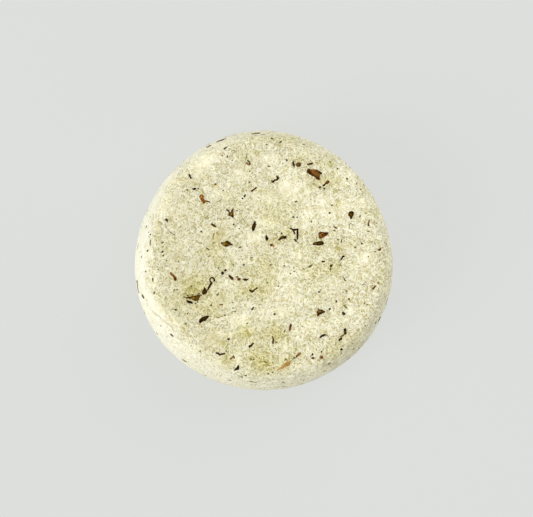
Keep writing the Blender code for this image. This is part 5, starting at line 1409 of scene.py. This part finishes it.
def laid(rows):
    heap = Heap()
    for x, y, length, width, heading in rows:
        at, _ = lay_point(x, y, SKIN)
        _, normal = lay_point(x * 0.995, y * 0.995)
        a = math.radians(heading)
        heading = LAY_ACROSS * math.cos(a) + LAY_UP * math.sin(a)
        heap.speck(SKIN, at, normal, heading, length * 1.08 + 0.06, width * 1.08 + 0.06, rng, rng.uniform(0.1, 0.5), 0.07)
    return heap


def finish_heap(heap, name, material):
    piece = heap.build(name, material)
    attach(piece, "root")
    return piece


dark = laid(DARK_SPECKS)
olive = laid(OLIVE_SPECKS)
brown = laid(BROWN_SPECKS)
threads = Heap()
for path in FIBRES:
    points = [lay_point(x, y, SKIN)[0] for x, y in path]
    smooth_path = []
    for i in range(len(points) - 1):
        for f in (0.0, 0.5):
            smooth_path.append(points[i].lerp(points[i + 1], f))
    smooth_path.append(points[-1])
    threads.fibre(SKIN, smooth_path, 0.22, rng.uniform(0.1, 0.6))

# Dust of the same herbs over the whole skin, base included
triangles = np.array([tuple(f.vertices)[:3] for f in body.data.polygons])
a, b, c = (FINE_POINTS[triangles[:, i]] for i in range(3))
areas = np.linalg.norm(np.cross(b - a, c - a), axis=1)
areas[c[:, 2] < 0.02] *= 0.6
picks = rng.choice(len(triangles), size=1500, p=areas / areas.sum())
for count, pick in enumerate(picks):
    w = rng.dirichlet((1.0, 1.0, 1.0))
    at = Vector(a[pick] * w[0] + b[pick] * w[1] + c[pick] * w[2])
    _, normal, _, _ = PLAIN.find_nearest(at)
    turn = Vector(rng.normal(size=3))
    kind = rng.uniform()
    size = 0.16 + 0.26 * rng.uniform() ** 2
    hidden = at.z < 9.0 or (at.z < 20.0 and (at.x > 20 or at.y > 20))
    if kind < (0.16 if hidden else 0.03):
        if hidden:
            size *= 1.6
        seed = rng.uniform(0.0 if hidden else 0.4, 1.0)
        dark.speck(SKIN, at, normal, turn, size * rng.uniform(1.0, 1.8), size * 0.8, rng, seed)
    elif kind < 0.13 + (0.16 if hidden else 0.05):
        brown.speck(SKIN, at, normal, turn, size * rng.uniform(1.0, 2.0), size * 0.7, rng, rng.uniform(0.5, 1.0))
    elif kind < 0.90:
        olive.speck(SKIN, at, normal, turn, size * rng.uniform(1.0, 2.2), size * 0.75, rng, rng.uniform(0.4, 1.0))
    else:
        u = (turn - normal * turn.dot(normal)).normalized()
        v = normal.cross(u)
        reach = rng.uniform(0.5, 1.1)
        bend = rng.uniform(-0.25, 0.25)
        path = [at + u * (s * reach) + v * (bend * (1 - s * s) * reach) for s in (-1.0, -0.5, 0.0, 0.5, 1.0)]
        threads.fibre(SKIN, path, rng.uniform(0.07, 0.14), rng.uniform(0.5, 1.0))

finish_heap(dark, "specks_dark", SPECK_DARK)
finish_heap(olive, "specks_olive", SPECK_OLIVE)
finish_heap(brown, "specks_brown", SPECK_BROWN)
finish_heap(threads, "fibres_olive", SPECK_OLIVE)


# =================================================================== floor, light and camera
def floor():
    mesh = bpy.data.meshes.new("floor")
    s = 6.0
    mesh.from_pydata([(-s, -s, 0), (s, -s, 0), (s, s, 0), (-s, s, 0)], [], [(0, 1, 2, 3)])
    thing = link(bpy.data.objects.new("floor", mesh))
    t = Tree("floor_pale")
    p = t.mm()
    cloud = t.noise(p, 0.006, 2.0, 0.5)
    colour = t.mixed(t.ramp(cloud, 0.3, 0.7), linear(98, 99, 98), linear(100, 101, 100))
    t.link(colour, t.shader.inputs["Base Color"])
    # A light table: most of the floor's brightness comes from under it, which keeps shadows faint
    t.shader.inputs["Emission Color"].default_value = (0.985, 1.0, 0.975, 1.0)
    t.shader.inputs["Emission Strength"].default_value = 0.590
    t.shader.inputs["Roughness"].default_value = 0.7
    t.shader.inputs["Specular IOR Level"].default_value = 0.15
    thing.data.materials.append(t.material)
    return thing


floor()


def sun(name, azimuth, elevation, strength, angle, colour):
    """A soft distant light that comes from that azimuth (0 = +X, counter-clockwise) and elevation."""
    light = bpy.data.lights.new(name, "SUN")
    light.energy = strength
    light.angle = math.radians(angle)
    light.color = colour
    thing = link(bpy.data.objects.new(name, light))
    a, e = math.radians(azimuth), math.radians(elevation)
    towards = Vector((math.cos(e) * math.cos(a), math.cos(e) * math.sin(a), math.sin(e)))
    thing.rotation_euler = (-towards).to_track_quat("-Z", "Y").to_euler()
    thing.location = towards * 0.6
    return thing


sun("key_left", 205.0, 28.0, 1.80, 40.0, (1.0, 0.99, 0.965))
sun("fill_right", 48.0, 33.0, 1.40, 70.0, (1.0, 0.985, 0.95))

world = bpy.data.worlds.new("studio")
bpy.context.scene.world = world
world.use_nodes = True
world.node_tree.nodes["Background"].inputs["Color"].default_value = (0.955, 0.965, 0.965, 1.0)
world.node_tree.nodes["Background"].inputs["Strength"].default_value = 0.64

camera = bpy.data.cameras.new("camera")
camera.sensor_fit = "HORIZONTAL"
camera.sensor_width = 36.0
MM_PER_PIXEL = 0.2724
camera.lens = 36.0 * LAY_APEX / (533 * MM_PER_PIXEL)
camera.clip_start = 0.01
camera.clip_end = 30.0
eye = link(bpy.data.objects.new("camera", camera))
# The puck sits a little left of and below the middle of the frame
slide = LAY_ACROSS * (3.0 * MM_PER_PIXEL) + LAY_UP * (2.0 * MM_PER_PIXEL)
eye.location = (APEX + slide) * MM
eye.rotation_mode = "QUATERNION"
eye.rotation_quaternion = Matrix((LAY_ACROSS, LAY_UP, LAY_AWAY)).transposed().to_quaternion()
bpy.context.scene.camera = eye
bpy.context.scene.view_settings.view_transform = "Standard"
bpy.context.scene.view_settings.look = "None"
